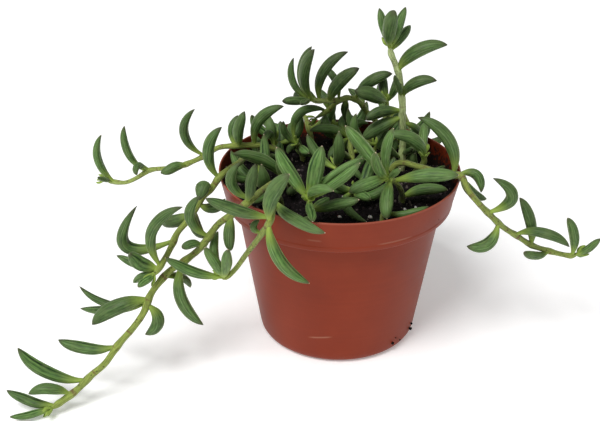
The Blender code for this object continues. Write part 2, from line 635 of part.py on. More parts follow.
def placed_leaves(stems):
    """Every node's leaves, those placed by hand first and then those by rule."""
    space = Space()
    owners = {name: index for index, name in enumerate(stems)}
    for name in stems:
        for line, radii in stem_tubes(name, stems):
            fine, places = smooth_route(line, FINE_STEP)
            space.add(fine, np.interp(places, np.linspace(0, places[-1], len(radii)), radii), owners[name])
    leaves = {name: [] for name in stems}
    for key, rows in LEAVES.items():
        name, _, branch = key.partition(".")
        route = BRANCHES[name][branch][2] if branch else stems[name][2]
        for reach, way, letters, sag, width in rows:
            base = point_along(route, reach)
            bow = bow_direction(letters, way)
            leaf = place_leaf(space, owners[name], base, way, bow, sag, width)
            if leaf:
                leaves[name].append(leaf)
    draw = random.Random(LEAF_SEED)
    for name in [*BACK_ROUTES, *SPRIGS, *FOOT_LEAVES]:
        route = stems[name][2]
        if name in SPRIGS:
            rows = spiral_leaves(route, SPRIG_FIRST, SPRIGS[name][3], SPRIG_SPACING, GROWN_LEAF, draw)
        elif name in FOOT_LEAVES:
            rows = spiral_leaves(route, FOOT_FIRST, FOOT_LEAVES[name], FOOT_SPACING, FOOT_LEAF, draw)
        else:
            rows = spiral_leaves(route, BACK_FIRST, BACK_LEAVES, SPIRAL_SPACING, GROWN_LEAF, draw)
        for reach, way, bow, sag, width in rows:
            leaf = place_leaf(space, owners[name], point_along(route, reach), way, bow, sag, width)
            if leaf:
                leaves[name].append(leaf)
    return leaves


def make_stem(name, stems, leaves, finish):
    tubes = stem_tubes(name, stems)
    stem = mesh_object(name, *tube_mesh(*tubes[0]), finish)
    grown = [mesh_object("branch", *tube_mesh(*tube), finish) for tube in tubes[1:]]
    grown += [mesh_object("leaf", *leaf_mesh(*leaf), finish) for leaf in leaves]
    combine(stem, grown, "UNION")
    return stem


def main():
    for old in list(bpy.data.objects):
        bpy.data.objects.remove(old)
    stems = all_stems()
    make_pot(material("terracotta_plastic", POT_COLOUR, 0.55))
    make_soil(stems.values(), material("peat_soil", SOIL_COLOUR, 0.95))
    leaf_finish = material("fleshy_leaf", LEAF_COLOUR, 0.45)
    for name, leaves in placed_leaves(stems).items():
        make_stem(name, stems, leaves, leaf_finish)


main()
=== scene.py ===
"""Looks of the potted string of bananas: a fleshy trailing succulent in a thin plastic nursery pot.

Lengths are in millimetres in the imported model's frame, and every mesh is written in metres.
Stems and leaves grow on the same lines as the solids, here with their real section, finish and small parts.
"""

import math
import random
from functools import partial

import bpy
import numpy as np
from mathutils import Matrix, Vector, noise


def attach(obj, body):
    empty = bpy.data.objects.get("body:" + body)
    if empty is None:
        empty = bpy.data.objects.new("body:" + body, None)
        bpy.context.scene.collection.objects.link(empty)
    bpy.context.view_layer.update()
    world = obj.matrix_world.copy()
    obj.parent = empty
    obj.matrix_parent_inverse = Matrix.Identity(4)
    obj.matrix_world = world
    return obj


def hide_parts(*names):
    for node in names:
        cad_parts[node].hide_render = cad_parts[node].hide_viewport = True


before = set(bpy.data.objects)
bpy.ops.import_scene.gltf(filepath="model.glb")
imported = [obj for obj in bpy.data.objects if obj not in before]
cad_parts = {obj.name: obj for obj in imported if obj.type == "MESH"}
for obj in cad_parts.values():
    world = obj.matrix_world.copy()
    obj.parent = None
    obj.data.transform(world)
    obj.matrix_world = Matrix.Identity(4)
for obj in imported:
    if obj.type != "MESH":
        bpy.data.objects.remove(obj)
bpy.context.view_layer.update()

MM = 0.001

# Camera: as in the photograph, 0.5 m from a point over the middle of the pot's base
CAMERA_DISTANCE = 500.0
CAMERA_ELEVATION = 29.5
CAMERA_AIM_HEIGHT = 40.0
CAMERA_PITCH = 1.75
CAMERA_YAW = 2.26
CAMERA_LENS = 66.46
CAMERA_SENSOR = 36.0

# Pot: a tapered cup with a wide collar round its mouth
POT_HEIGHT = 79.0
POT_RIM_RADIUS = 52.5
POT_COLLAR_HEIGHT = 15.0
POT_COLLAR_FOOT_RADIUS = 49.3
POT_BODY_TOP_RADIUS = 45.0
POT_BASE_RADIUS = 35.2
POT_CORNER_RADIUS = 4.0
POT_CORNER_POINTS = 4
POT_WALL = 0.9
POT_RIM_BEVEL = 0.5
POT_LEDGE_DROP = 0.8
POT_TURN_SIDES = 192
POT_PROFILE_STEP = 2.0
POT_BASE_EASE = 0.4
POT_SHARP_ANGLE = math.radians(50)
COLLAR_FOOT = POT_HEIGHT - POT_COLLAR_HEIGHT
ROUNDING_STEPS = 6
LEDGE_ROUNDING = 0.9
COLLAR_ROUNDING = 0.8
LIP_ROUNDINGS = (0.45, 0.4)
# The faint bead low on the collar: how far out and how far up from the collar's foot its two edges are
BEAD = ((0.45, 2.2), (0.38, 2.7))
BEAD_ROUNDING = 0.25
DRAIN_HOLES = 6
DRAIN_RADIUS = 3.0
DRAIN_CIRCLE_RADIUS = 25.0
DRAIN_SIDES = 24

# Soil
SOIL_LEVEL = 69.0
SOIL_SWELL = 1.0
SOIL_LUMPS = 0.6
SOIL_TURN_SIDES = 180
SOIL_RING_STEP = 0.8
FIT_GAP = 0.35

# Where stems and leaves stand, the same as in the solids
STEM_STEP = 7.0
FINE_STEP = 1.0
CURVE_STEPS = 8
ROOT_DEPTH = 8.4
STRAIGHT_RISE = 2.0
LEAF_RINGS = ((0.0, 0.32), (0.16, 0.64), (0.38, 1.0), (0.66, 0.96), (0.89, 0.58))
RING_EXCESS = 1.13
LEAF_HANDLE = 0.28
LEAF_CHECKS = 14
LEAF_SUNK_PART = 0.12
OWN_CLEARANCE = 0.1
CLEARANCE = 0.5
FLOOR_GAP = 0.4
# The least part of a bow's direction that has to stand square to the leaf
LEAST_BOW = 0.2
TURNS = (0, 12, -12, 24, -24, 38, -38, 55, -55)
LEANS = (0, 3, -3, 6, -6, 9, -9, 12, -12)
SHORTENINGS = (1.0, 0.85, 0.7)
# A leaf's tries are sorted by their turn in degrees, with a shortening to nothing counted as this
# many degrees, and a millimetre of lean as this many
SHORTENING_COST = 60
LEAN_COST = 1.2
# A leaf leans away from or towards the front along this line
LEAN_LINE = np.array([0.0, 0.88, -0.47])
# The sides that a bow is named by: left, right, front, back, up and down
SIDES = {"L": (-1, 0, 0), "R": (1, 0, 0), "F": (0, -1, 0), "B": (0, 1, 0), "U": (0, 0, 1), "D": (0, 0, -1)}

# Each stem: its thickness at the root and at the tip, then its route from where it leaves the soil
ROUTES = {
    "stem_left_high": (1.4, 1.0, [
        (-25, 21, 72), (-27, 19, 77), (-35, 14, 82), (-42, 12, 83), (-48, 11, 83), (-54, 11, 82),
        (-60, 11, 78), (-67, 12, 74), (-74, 15, 70), (-81, 20, 67), (-88, 24, 64), (-94, 24, 60),
        (-100, 25, 57), (-107, 28, 56), (-111, 30, 56)]),
    "stem_left_long": (1.5, 1.5, [
        (-21, -6, 72), (-22, -10, 77), (-29, -26, 82), (-34, -38, 83), (-38, -44, 82), (-44, -44, 77),
        (-49, -42, 72), (-53, -42, 66), (-57, -41, 60), (-63, -40, 54), (-70, -41, 49), (-75, -44, 44),
        (-78, -47, 40), (-80, -51, 35), (-84, -55, 30), (-90, -59, 24), (-95, -64, 18), (-101, -66, 13),
        (-106, -70, 9), (-111, -73, 6), (-116, -77, 4)]),
    "stem_left_mid": (1.6, 1.3, [
        (-36, 18, 72), (-37, 15, 76), (-41, 7, 80), (-43, -6, 83), (-46, -14, 84), (-50, -20, 83),
        (-53, -22, 79), (-57, -23, 75), (-60, -26, 71), (-63, -30, 67), (-67, -33, 63), (-69, -36, 59),
        (-71, -41, 56), (-73, -46, 54), (-75, -50, 52)]),
    "stem_front_left": (1.5, 1.1, [
        (-24, -22, 72), (-25, -28, 78), (-26, -42, 83), (-26, -53, 84), (-27, -56, 81), (-31, -53, 73),
        (-37, -48, 62), (-42, -45, 53), (-46, -45, 49), (-49, -44, 49)]),
    "stem_right": (1.55, 1.2, [
        (22, 6, 72), (24, 6, 77), (28, 5, 79), (33, 2, 79), (38, -1, 79), (44, -5, 79), (48, -11, 81),
        (51, -16, 83), (54, -22, 79), (58, -22, 74), (63, -20, 68), (70, -17, 60), (77, -14, 54),
        (84, -11, 48), (91, -8, 44), (98, -6, 41), (104, -4, 39), (107, -3, 40)]),
    "stem_back_arch": (1.5, 1.1, [
        (24, 31, 71), (23, 35, 78), (13, 38, 88), (10, 36, 93), (7, 33, 97), (3, 30, 99), (-1, 27, 99),
        (-6, 24, 100), (-10, 21, 101), (-14, 18, 103)]),
    "stem_upright": (1.6, 1.35, [
        (28, 18, 72), (28, 18, 80), (28, 17, 87), (27, 16, 95), (27, 15, 102), (26, 14, 109), (25, 13, 116),
        (23, 12, 122), (21, 10, 127), (20, 10, 131)]),
    "stem_rosette_left": (1.4, 1.1, [(-11, -32, 71), (-11, -35, 76), (-12, -38, 80), (-12, -41, 84)]),
    "stem_rosette_right": (1.4, 1.1, [(27, -12, 71), (26, -18, 77), (23, -24, 84), (20, -29, 88)]),
    "stem_mid_left": (1.3, 1.0, [(-17, 27, 71), (-18, 25, 75), (-19, 22, 79), (-20, 18, 82)]),
    "stem_mid_right": (1.4, 1.1, [(33, 9, 71), (35, 7, 75), (37, 5, 80), (37, 3, 84)]),
    "stem_mid_back": (1.3, 1.0, [(6, 24, 71), (5, 27, 75), (4, 31, 79)]),
}

# Side branches: they grow from a stem's route and belong to its node
BRANCHES = {
    "stem_back_arch": {
        "fork": (1.2, 1.0, [(3, 30, 99), (-2, 31, 96), (-5, 33, 92), (-8, 35, 89), (-12, 36, 86)]),
        "back": (1.2, 1.0, [(20, 37, 82), (22, 33, 88), (21, 30, 94), (21, 30, 99)]),
    },
}

# Leaves placed one by one. Each is: how far along its stem or branch it grows, the way from there to its tip,
# the sides that it bows towards, how far it bows, and its width
LEAVES = {
    "stem_left_high": [
        (45, (-3, -4, 24), "L", 7, 4.8), (81, (-9, 2, 22), "L", 4, 4.4), (79, (-4, -8, 1), "LBU", 4, 3.8),
        (55, (-11, -6, -2), "FU", 1, 4.6), (99, (-4, -2, 25), "L", 5, 4.4), (101, (-4, -5, 4), "", 0, 2.7),
        (21, (13, -3, 20), "LU", 5, 6.0), (28, (3, -4, 18), "LF", 2, 5.4), (30, (1, 6, 12), "LB", 2, 5.0),
        (11, (-4, -6, 5), "BU", 6, 3.8), (3, (-10, 3, 15), "LD", 9, 3.0)],
    "stem_left_long": [
        (41, (-4, -2, 17), "L", 6, 5.0), (44, (4, -6, 20), "F", 1, 4.4), (52, (-1, 0, -17), "L", 1, 5.8),
        (68, (-2, -5, 21), "L", 6, 5.2), (73, (-8, -5, 1), "LBU", 1, 4.2), (85, (7, -4, -29), "L", 6, 6.4),
        (108, (-23, -6, -9), "U", 3, 7.4), (109, (-30, 8, 2), "D", 6, 3.6), (109, (-33, 6, -9), "D", 2, 4.6),
        (110, (-1, -3, -13), "R", 5, 6.4), (131, (-25, 2, 1), "D", 3, 5.6),
        (150, (-28, 3, 13), "LD", 5, 5.8), (159, (-16, -4, 3), "U", 3, 5.0),
        (166, (-21, 4, 4), "D", 2, 4.6), (168, (-16, -3, -2), "", 1, 3.4), (97, (9, 6, -9), "U", 3, 4.0),
        (3, (-23, -12, 19), "BU", 4, 5.8), (11, (0, 2, 12), "L", 2, 3.8), (12, (-5, -4, 2), "", 0, 2.8),
        (23, (-9, 3, -10), "RD", 2, 3.8)],
    "stem_left_mid": [
        (46, (2, 0, 23), "L", 5, 5.8), (53, (-3, -9, 0), "U", 4, 5.8), (60, (13, 9, -2), "D", 4, 5.0),
        (63, (3, 4, -16), "L", 2, 5.6), (79, (-14, -2, 17), "LD", 17, 6.0), (92, (11, -3, 29), "L", 8, 5.6),
        (66, (-13, 4, -7), "LF", 1, 5.4), (94, (-10, -5, 10), "LBD", 3, 6.0),
        (95, (-18, 3, 5), "BD", 1, 3.4), (96, (-11, -1, -5), "LBU", 1, 3.6),
        (96, (-6, -6, -3), "", 0, 3.4)],
    "stem_front_left": [
        (40, (8, -6, 23), "L", 3, 7.0), (39, (-25, -2, 9), "", 1, 5.4), (41, (16, -4, -25), "LD", 5, 5.6),
        (48, (-1, -4, 8), "L", 3, 3.4), (81, (-7, -5, 17), "", 0, 5.4), (81, (-3, 3, 20), "L", 3, 4.6),
        (81, (3, -4, 16), "", 0, 4.6), (82, (-23, -2, 10), "LD", 2, 4.9),
        (23, (21, -15, -6), "LF", 3, 5.2)],
    "stem_right": [
        (38, (-16, 3, 25), "RU", 6, 6.8), (41, (10, -4, -6), "RBU", 5, 5.0),
        (44, (12, -6, -7), "LFD", 2, 4.8), (66, (1, 0, 16), "R", 9, 6.0), (74, (-13, -5, -9), "RD", 5, 6.0),
        (97, (-7, 0, 23), "R", 2, 5.9), (86, (22, -8, -1), "U", 4, 5.0), (108, (-13, -8, 4), "D", 2, 4.4),
        (120, (-4, 0, 19), "R", 2, 5.3), (122, (9, -3, 10), "RD", 1, 3.8), (122, (5, -3, 1), "", 0, 2.7)],
    "stem_back_arch": [
        (61, (-7, 3, 18), "L", 4, 4.0), (61, (1, -2, 25), "L", 4, 4.6), (59, (1, -7, 24), "L", 4, 5.8),
        (55, (12, 0, 23), "LU", 5, 5.6), (50, (13, -7, 18), "LU", 2, 7.2), (45, (-8, 8, 13), "RU", 3, 4.0),
        (57, (-12, -6, 6), "RU", 2, 6.4), (59, (-13, -2, -1), "", 0, 4.6), (41, (0, 3, -12), "", 0, 3.6),
        (35, (16, -4, 14), "LU", 3, 6.0), (28, (-7, 9, 5), "B", 3, 4.0), (64, (-3, -6, -1), "", 0, 2.8)],
    "stem_back_arch.fork": [
        (14, (-14, -6, -5), "LU", 5, 4.0), (12, (-6, 10, 6), "U", 2, 4.0)],
    "stem_back_arch.back": [
        (18, (-15, -3, 5), "RFU", 1, 6.6), (19, (-2, 2, 13), "L", 1, 5.4), (18, (4, -1, 13), "R", 1, 4.4)],
    "stem_upright": [
        (60, (-5, 5, 16), "", 0, 4.2), (61, (1, -5, 16), "L", 1, 7.0), (60, (6, 4, 17), "", 0, 4.4),
        (59, (10, 0, 16), "", 0, 4.6), (48, (20, -3, 13), "LU", 4, 6.6), (34, (14, -6, 11), "LU", 4, 5.4),
        (35, (-4, -6, 12), "", 0, 2.8), (28, (-16, -6, -2), "LBU", 2, 5.6),
        (25, (-17, -11, -5), "U", 1, 6.6), (22, (8, 8, -10), "R", 3, 3.8), (6, (4, -6, 5), "", 0, 3.2)],
    "stem_rosette_right": [
        (26, (-18, 2, 22), "", 0, 6.6), (26, (1, 3, 20), "L", 2, 5.0), (26, (-6, -7, 14), "L", 2, 4.8),
        (26, (-16, -8, -3), "U", 1, 5.8), (23, (-2, -9, -17), "L", 1, 6.6), (20, (26, -4, 5), "U", 1, 6.6),
        (26, (4, -6, 7), "", 0, 3.2), (0, (27, -5, 8), "U", 3, 5.6)],
    "stem_rosette_left": [
        (17, (-13, 3, 21), "D", 1, 6.0), (17, (5, 3, 22), "", 0, 7.0), (17, (10, -5, 6), "LU", 3, 4.2),
        (6, (7, 6, 3), "", 0, 3.8), (6, (19, -9, 10), "", 0, 5.4), (16, (2, -13, -3), "", 0, 3.6),
        (17, (21, 5, 16), "LU", 2, 3.2), (17, (20, 2, 15), "RFD", 1, 4.6)],
    "stem_mid_left": [
        (14, (13, 4, 15), "LU", 8, 4.6), (15, (-5, -4, 12), "L", 2, 3.8), (13, (-3, 4, 9), "LF", 1, 3.4),
        (9, (5, -8, 0), "", 0, 3.8), (7, (-5, -8, 1), "LBU", 2, 3.6)],
    "stem_mid_right": [
        (9, (-17, -5, 15), "RU", 6, 6.2), (15, (-1, 9, 12), "L", 1, 5.0)],
    "stem_mid_back": [
        (11, (-18, -4, 5), "U", 3, 4.8), (11, (-9, -10, -6), "LU", 1, 4.6), (11, (3, 8, 7), "LU", 6, 3.8),
        (11, (9, 5, 5), "LU", 4, 3.8)],
    "sprig_rim": [
        (4, (18, 0, 3), "FD", 2, 4.0)],
    "sprig_centre": [
        (0, (-7, -4, 1), "", 0, 3.2), (2, (-2, 2, 4), "", 0, 3.4), (1, (11, -4, 0), "U", 4, 3.8)],
    "sprig_front": [
        (5, (5, -14, -7), "LF", 7, 4.0), (4, (7, -4, -1), "", 0, 4.4), (5, (-10, 2, 0), "", 0, 4.0),
        (5, (6, 2, 2), "", 0, 3.8)],
}

# Trailing stems at the back and short sprigs in the crown, whose leaves follow the spiral rule
BACK_ROUTES = {
    "stem_back_right": (1.4, 1.0, [
        (13, 38, 71), (18, 44, 80), (24, 48, 83), (29, 53, 82), (32, 58, 76), (34, 60, 66), (37, 60, 54),
        (41, 60, 43), (44, 62, 34)]),
    "stem_back_left": (1.4, 1.0, [
        (-12, 34, 71), (-14, 40, 77), (-16, 46, 81), (-17, 50, 81), (-19, 54, 78), (-21, 56, 70),
        (-23, 57, 60), (-24, 57, 51), (-26, 59, 43)]),
}
# Each sprig: where it stands, how high it rises, and how many leaves it has by rule
SPRIGS = {
    "sprig_back": (-2, 38, 8, 5),
    "sprig_centre_back": (15, 22, 7, 5),
    "sprig_far_left": (-28, 28, 8, 5),
    "sprig_left": (-33, -6, 6, 4),
    "sprig_front": (6, -15, 6, 3),
    "sprig_right": (24, 25, 8, 5),
    "sprig_centre": (-1, 5, 6, 3),
    "sprig_rim": (18, -31, 6, 0),
}
SPIRAL_STEP = math.radians(137.5)
# The directions that the spirals of leaves and of buds start from, before they are squared to the stem
SPIRAL_START = np.array([0.6, 0.8, 0.1])
BUD_START = np.array([0.3, 0.9, 0.2])
SPIRAL_SPACING = 8.5
SPRIG_SPACING = 2.2
SPRIG_FIRST = 2.0
SPRIG_THICKNESS = (1.3, 1.0)
SPRIG_LEAN = 0.35
BACK_FIRST = 12.0
BACK_LEAVES = 9
# Ranges of a rule leaf's length, sag and width: full-grown, and small round a stem's foot
GROWN_LEAF = ((16.0, 23.0), (2.5, 5.0), (4.2, 5.6))
FOOT_LEAF = ((8.0, 13.0), (1.0, 2.5), (3.2, 4.4))
FOOT_FIRST = 1.5
FOOT_SPACING = 2.5
# How many small leaves grow round the foot of each of these stems
FOOT_LEAVES = {
    "stem_left_high": 2, "stem_left_long": 1, "stem_right": 2, "stem_back_arch": 3, "stem_upright": 3,
    "stem_mid_left": 2, "stem_mid_right": 2, "stem_mid_back": 3, "stem_rosette_left": 1}
RULE_FORWARD = 0.45
RULE_LIFT = 0.5
LEAF_SEED = 42

# Finer form of the pieces
LEAF_SECTION_SIDES = 24
LEAF_LENGTH_RINGS = 28
LEAF_THICKNESS = 0.84
LEAF_GROOVE_DEPTH = 0.16
LEAF_GROOVE_WIDTH = 0.3
LEAF_RIBS = 12
LEAF_RIB_DEPTH = 0.012
# A leaf's half width along it, before it is softened, as shares of the length and of the width
LEAF_OUTLINE = (
    (0.0, 0.31), (0.06, 0.34), (0.14, 0.49), (0.24, 0.74), (0.36, 0.94), (0.5, 1.03), (0.64, 1.02),
    (0.76, 0.9), (0.86, 0.69), (0.93, 0.44), (0.97, 0.25), (0.99, 0.12), (1.0, 0.05))
OUTLINE_POINTS = 201
OUTLINE_SOFTENING = 7
LEAF_POINT_SHARE = 0.03
LEAF_TIP_CROWDING = 1.35
# Where a leaf is widest: its length is shared out by a power between these two
LEAF_SKEWS = (0.86, 1.12)
# The seed times this, past the point, serves as a second draw for the leaf
SKEW_DRAW = 7
LEAF_TWIST = math.radians(16)
LEAF_WAVE = 0.25
LEAF_WAVES = 1.4
STEM_SECTION_SIDES = 14
STEM_RING_STEP = 1.1
STEM_RIBS = 7
STEM_RIB_DEPTH = 0.06
# A round stem has this share of the radius to the corners of the solid's six-sided tube
STEM_ROUND_SHARE = 0.89
STEM_NODE_SWELL = 0.3
STEM_NODE_REACH = 2.4
STEM_TIP_TAPER = 4.0
STEM_POINT_SHARE = 0.04
STEM_STRIPE_LENGTH = 12.0
SCAR_SPACING = 9.0
SCAR_REACH = 1.1
SCAR_SWELL = 0.06
SCAR_SPREAD = (0.7, 1.5)
LEAF_ROOT_SCAR = 0.55
# A line lies at least this many of its own radii above the surface that the pot stands on
FLOOR_ROOM = 1.1

# How young each shoot's leaves look, from 0, dark and greyed, to 1, bright green
SHOOT_TONES = {
    "stem_left_high": 0.56, "stem_left_long": 0.52, "stem_left_mid": 0.42, "stem_front_left": 0.62,
    "stem_right": 0.45, "stem_back_arch": 0.1, "stem_upright": 0.35, "stem_rosette_left": 0.8,
    "stem_rosette_right": 0.85, "stem_mid_left": 0.45, "stem_mid_right": 0.45, "stem_mid_back": 0.35,
}
HIDDEN_SHOOT_TONE = 0.5
# How pale each stem is at its root and tip: 0 olive, 1 light green, 2 a pale milky green
STEM_TONES = {"stem_upright": (1.6, 1.9), "stem_back_arch": (0.5, 1.3), "stem_left_high": (0.6, 1.2)}
OTHER_STEM_TONES = (0.1, 1.0)
TONE_SPREAD = 0.12
TIP_BRIGHTENING = 0.22
# A leaf this short at a growing tip has just opened, and is brighter still
NEW_LEAF_LENGTH = 11.0
NEW_LEAF_BRIGHTENING = 0.4
# How far from a growing tip its brightness fades
YOUNG_REACH = 15.0
# The leaf's colours from its groove, 0, round to its ridge, 1: those of an old leaf and of a young one. The
# near-black at the groove is partly the leaf's dark window and partly painted shade in the groove
LEAF_BANDS = (
    (0.0, "0d170d", "24421d"), (0.035, "15220f", "2f4f24"), (0.06, "2b3f22", "52753b"),
    (0.13, "475d35", "759654"), (0.2, "324926", "597e3f"), (0.23, "25371c", "466931"),
    (0.27, "324926", "577a3d"), (0.38, "42582f", "698b4a"), (0.46, "293b1e", "4a6d35"),
    (0.5, "495e3a", "809f62"), (0.54, "2b3f20", "4d7038"), (0.64, "3c522d", "648645"),
    (0.68, "25371c", "466931"), (0.71, "374d29", "5e8042"), (0.8, "435930", "6d8d4e"),
    (0.85, "283a1c", "4a6d35"), (0.88, "3a4f2a", "64864a"), (1.0, "41572f", "698b4d"))

# Tiny young leaves that close each growing tip
BUD_LEAVES = 5
BUD_LENGTHS = (2.6, 5.2)
BUD_WIDTH_SHARE = 0.3
BUD_SAG_SHARE = 0.12
BUD_SPREAD = 0.7
BUD_TONE = 1.6
BUD_SEED = 11

# Soil relief and what lies in it
CRUMB_SEED = 5
# Each layer of the soil's relief: its width and its height
RELIEF_SCALES = ((7.0, 1.0), (2.6, 0.75), (1.1, 0.35))
SOIL_TUCK = 0.25
# Each grain is turned by up to about a full turn round each axis
GRAIN_TURNS = (6.283, 6.283, 6.283)
# Each kind of grain: how many per square metre, its least and greatest half sizes, its roundness, its
# lumpiness and its material
GRAINS = (
    ("fine_crumbs", 560000, (0.18, 0.18, 0.14), (0.5, 0.5, 0.4), 1, 0.9, "peat"),
    ("coarse_crumbs", 110000, (0.4, 0.4, 0.3), (1.15, 1.15, 0.8), 2, 1.1, "peat"),
    ("peat_fibres", 50000, (0.08, 0.08, 0.8), (0.16, 0.16, 2.2), 1, 0.5, "peat"),
    ("perlite_grains", 3400, (0.4, 0.4, 0.35), (1.05, 1.05, 0.8), 2, 0.9, "perlite"),
)

# Crumbs of peat stuck low on the pot's wall: where each is, and its radius
STUCK_CRUMBS = (
    ((33.4, -14.4, 5.4), 0.75), ((33.9, -13.8, 7.6), 0.5), ((25.0, -26.0, 5.0), 0.65),
    ((28.3, -22.6, 4.6), 0.4), ((26.4, -24.9, 7.2), 0.3))
STUCK_CRUMB_SIDES = 12
STUCK_CRUMB_RINGS = 8
STUCK_CRUMB_LUMPINESS = 0.7

# Each pale mark on the pot, a rub low on the body and arcs on the collar that are partly rubs and partly
# painted highlight: how far right of the middle, its height, slope, length and strength
RUBS_AND_HIGHLIGHTS = ((-7.0, 14.3, 0.18, 10.0, 0.6), (23.0, 67.0, 0.0, 14.0, 0.4), (-9.5, 69.6, 0.0, 6.0, 0.35))
# A mark fades between these distances from its course, and between these shares of its length
RUB_AND_HIGHLIGHT_EDGES = (0.1, 0.6)
RUB_AND_HIGHLIGHT_ENDS = (0.3, 0.55)
# The lip is painted pale, as a highlight, between these depths under the rim
LIP_HIGHLIGHT_DEPTHS = (0.9, 0.1)
# Dust thins out up the pot's inner wall, from the soil to this height
DUST_TOP = 77.5

# Studio
FLOOR_HEIGHT = -0.15
WORLD_STRENGTH = 0.34
# The paper is lit from behind too, which keeps it white in the soft shadows
PAPER_GLOW = 0.25
PAPER_HALF_WIDTH = 3000.0
KEY_PLACE = (-900, -1300, 2500)
KEY_SIZE = 1500
KEY_POWER = 72.0


def inner_radius(height):
    """The pot's inner radius at a height."""
    outside = pot_outline()
    return float(np.interp(height, [h for _, h in outside], [r for r, _ in outside])) - POT_WALL


def soil_height(x, y):
    """The uneven top of the soil."""
    swell = SOIL_SWELL * math.sin(0.21 * x + 0.7) * math.cos(0.17 * y - 0.4)
    lumps = SOIL_LUMPS * math.sin(0.43 * x - 0.31 * y + 1.1)
    return SOIL_LEVEL + swell + lumps


def unit(vector):
    return vector / (np.linalg.norm(vector) + 1e-9)


def unit_rows(rows):
    return rows / np.linalg.norm(rows, axis=1)[:, None]


def square_to(vector, way):
    """The unit part of a vector that is square to a direction."""
    return unit(vector - unit(way) * (vector @ unit(way)))


def smooth_route(route, step):
    """Points at an even step along a smooth curve through the route."""
    knots = [np.array(point, float) for point in route]
    knots = [2 * knots[0] - knots[1], *knots, 2 * knots[-1] - knots[-2]]
    fine = [knots[1]]
    for a, b, c, d in zip(knots, knots[1:], knots[2:], knots[3:]):
        for part in np.linspace(0, 1, CURVE_STEPS + 1)[1:]:
            fine.append(0.5 * (2 * b + (c - a) * part + (2 * a - 5 * b + 4 * c - d) * part**2
                               + (3 * b - a - 3 * c + d) * part**3))
    fine = np.array(fine)
    reach = np.concatenate([[0], np.cumsum(np.linalg.norm(np.diff(fine, axis=0), axis=1))])
    count = max(2, round(reach[-1] / step))
    places = np.linspace(0, reach[-1], count + 1)
    return np.stack([np.interp(places, reach, fine[:, axis]) for axis in range(3)], 1), places


def point_along(route, reach):
    line, places = smooth_route(route, FINE_STEP)
    return np.array([np.interp(reach, places, line[:, axis]) for axis in range(3)])


def leaf_line(base, tip, bow, sag, part):
    """Points of a crescent leaf's middle line, a cubic curve bowed to one side, at parts from 0 to 1."""
    part = part[:, None]
    push = bow * sag * 4 / 3
    near = base + LEAF_HANDLE * (tip - base) + push
    far = base + (1 - LEAF_HANDLE) * (tip - base) + push
    inner = 3 * (1 - part)**2 * part * near + 3 * (1 - part) * part**2 * far
    return (1 - part)**3 * base + inner + part**3 * tip


def leaf_half_width(part, width):
    """Half the width that a leaf has in the solids at parts of its length."""
    places, shares = zip(*LEAF_RINGS, (1.0, 0.0))
    return 0.5 * RING_EXCESS * width * np.interp(part, places, shares)


def bow_direction(letters, tip_way):
    """The unit direction that named sides give, kept square to the leaf's own direction."""
    way = unit(np.array(tip_way, float))
    wanted = sum((np.array(SIDES[letter], float) for letter in letters), np.zeros(3))
    if not letters:
        wanted = np.array([0.0, 0.0, -1.0])
    square = wanted - way * (wanted @ way)
    if np.linalg.norm(square) < LEAST_BOW:
        square = np.cross(way, (0.0, 1.0, 0.0))
    return unit(square)


class Space:
    """What is already placed, as balls along each stem and leaf, each with its node's name."""

    def __init__(self):
        self.centres = np.zeros((0, 3))
        self.radii = np.zeros(0)
        self.owners = np.array([], str)
        self.wall = np.array([(radius - POT_WALL / 2, height) for radius, height in pot_outline()])

    def add(self, centres, radii, owner):
        self.centres = np.concatenate([self.centres, centres])
        self.radii = np.concatenate([self.radii, radii])
        self.owners = np.concatenate([self.owners, np.full(len(radii), owner)])

    def clears_others(self, centres, radii, owner, with_own):
        """Whether a new leaf is clear of other nodes and, if asked, of its own beyond the leaf's root."""
        reach = np.linalg.norm(centres[:, None] - self.centres[None], axis=2)
        room = reach - radii[:, None] - self.radii[None]
        own = self.owners == owner
        if (room[:, ~own] < CLEARANCE).any():
            return False
        outer = len(radii) // 3
        return not (with_own and (room[outer:][:, own] < OWN_CLEARANCE).any())

    def clears_pot(self, centres, radii):
        """Whether a new leaf is clear of the pot's wall, the soil and the surface that the pot stands on."""
        flat = np.stack([np.hypot(centres[:, 0], centres[:, 1]), centres[:, 2]], 1)
        start, end = self.wall[:-1], self.wall[1:]
        along = end - start
        part = ((flat[:, None] - start) * along).sum(2) / (along**2).sum(1)
        nearest = start + np.clip(part, 0, 1)[..., None] * along
        room = np.linalg.norm(flat[:, None] - nearest, axis=2).min(1) - radii
        if (room < POT_WALL / 2 + CLEARANCE).any():
            return False
        for (x, y, z), radius in zip(centres, radii):
            lowest = z - radius
            over_soil = math.hypot(x, y) < POT_RIM_RADIUS and z < POT_HEIGHT
            if lowest < FLOOR_GAP or (over_soil and lowest < soil_height(x, y) + CLEARANCE):
                return False
        return True


def turned_about_up(vector, degrees):
    cosine, sine = math.cos(math.radians(degrees)), math.sin(math.radians(degrees))
    x, y, z = vector
    return np.array([cosine * x - sine * y, sine * x + cosine * y, z])


def leaf_tries():
    """The small changes that a leaf may take to stay clear, the slightest first."""
    tries = [(short, turn, lean) for short in SHORTENINGS for turn in TURNS for lean in LEANS]
    return sorted(tries, key=lambda change: (
        SHORTENING_COST * (1 - change[0]) + abs(change[1]) + LEAN_COST * abs(change[2])))


def place_leaf(space, owner, base, tip_way, bow_way, sag, width):
    """The leaf as (base, tip, bow, sag, width), bent clear of what is there, or None if nothing clears."""
    tip_way = np.array(tip_way, float)
    part = np.linspace(0, 1, LEAF_CHECKS)
    free = part > LEAF_SUNK_PART
    radii = leaf_half_width(part, width)[free]
    for with_own in (True, False):
        for short, turn, lean in leaf_tries():
            way = turned_about_up(tip_way, turn) * short + lean * LEAN_LINE
            bow = square_to(turned_about_up(bow_way, turn), way)
            line = leaf_line(base, base + way, bow, sag * short, part)[free]
            if space.clears_others(line, radii, owner, with_own) and space.clears_pot(line, radii):
                space.add(line, radii, owner)
                return base, base + way, bow, sag * short, width
    return None


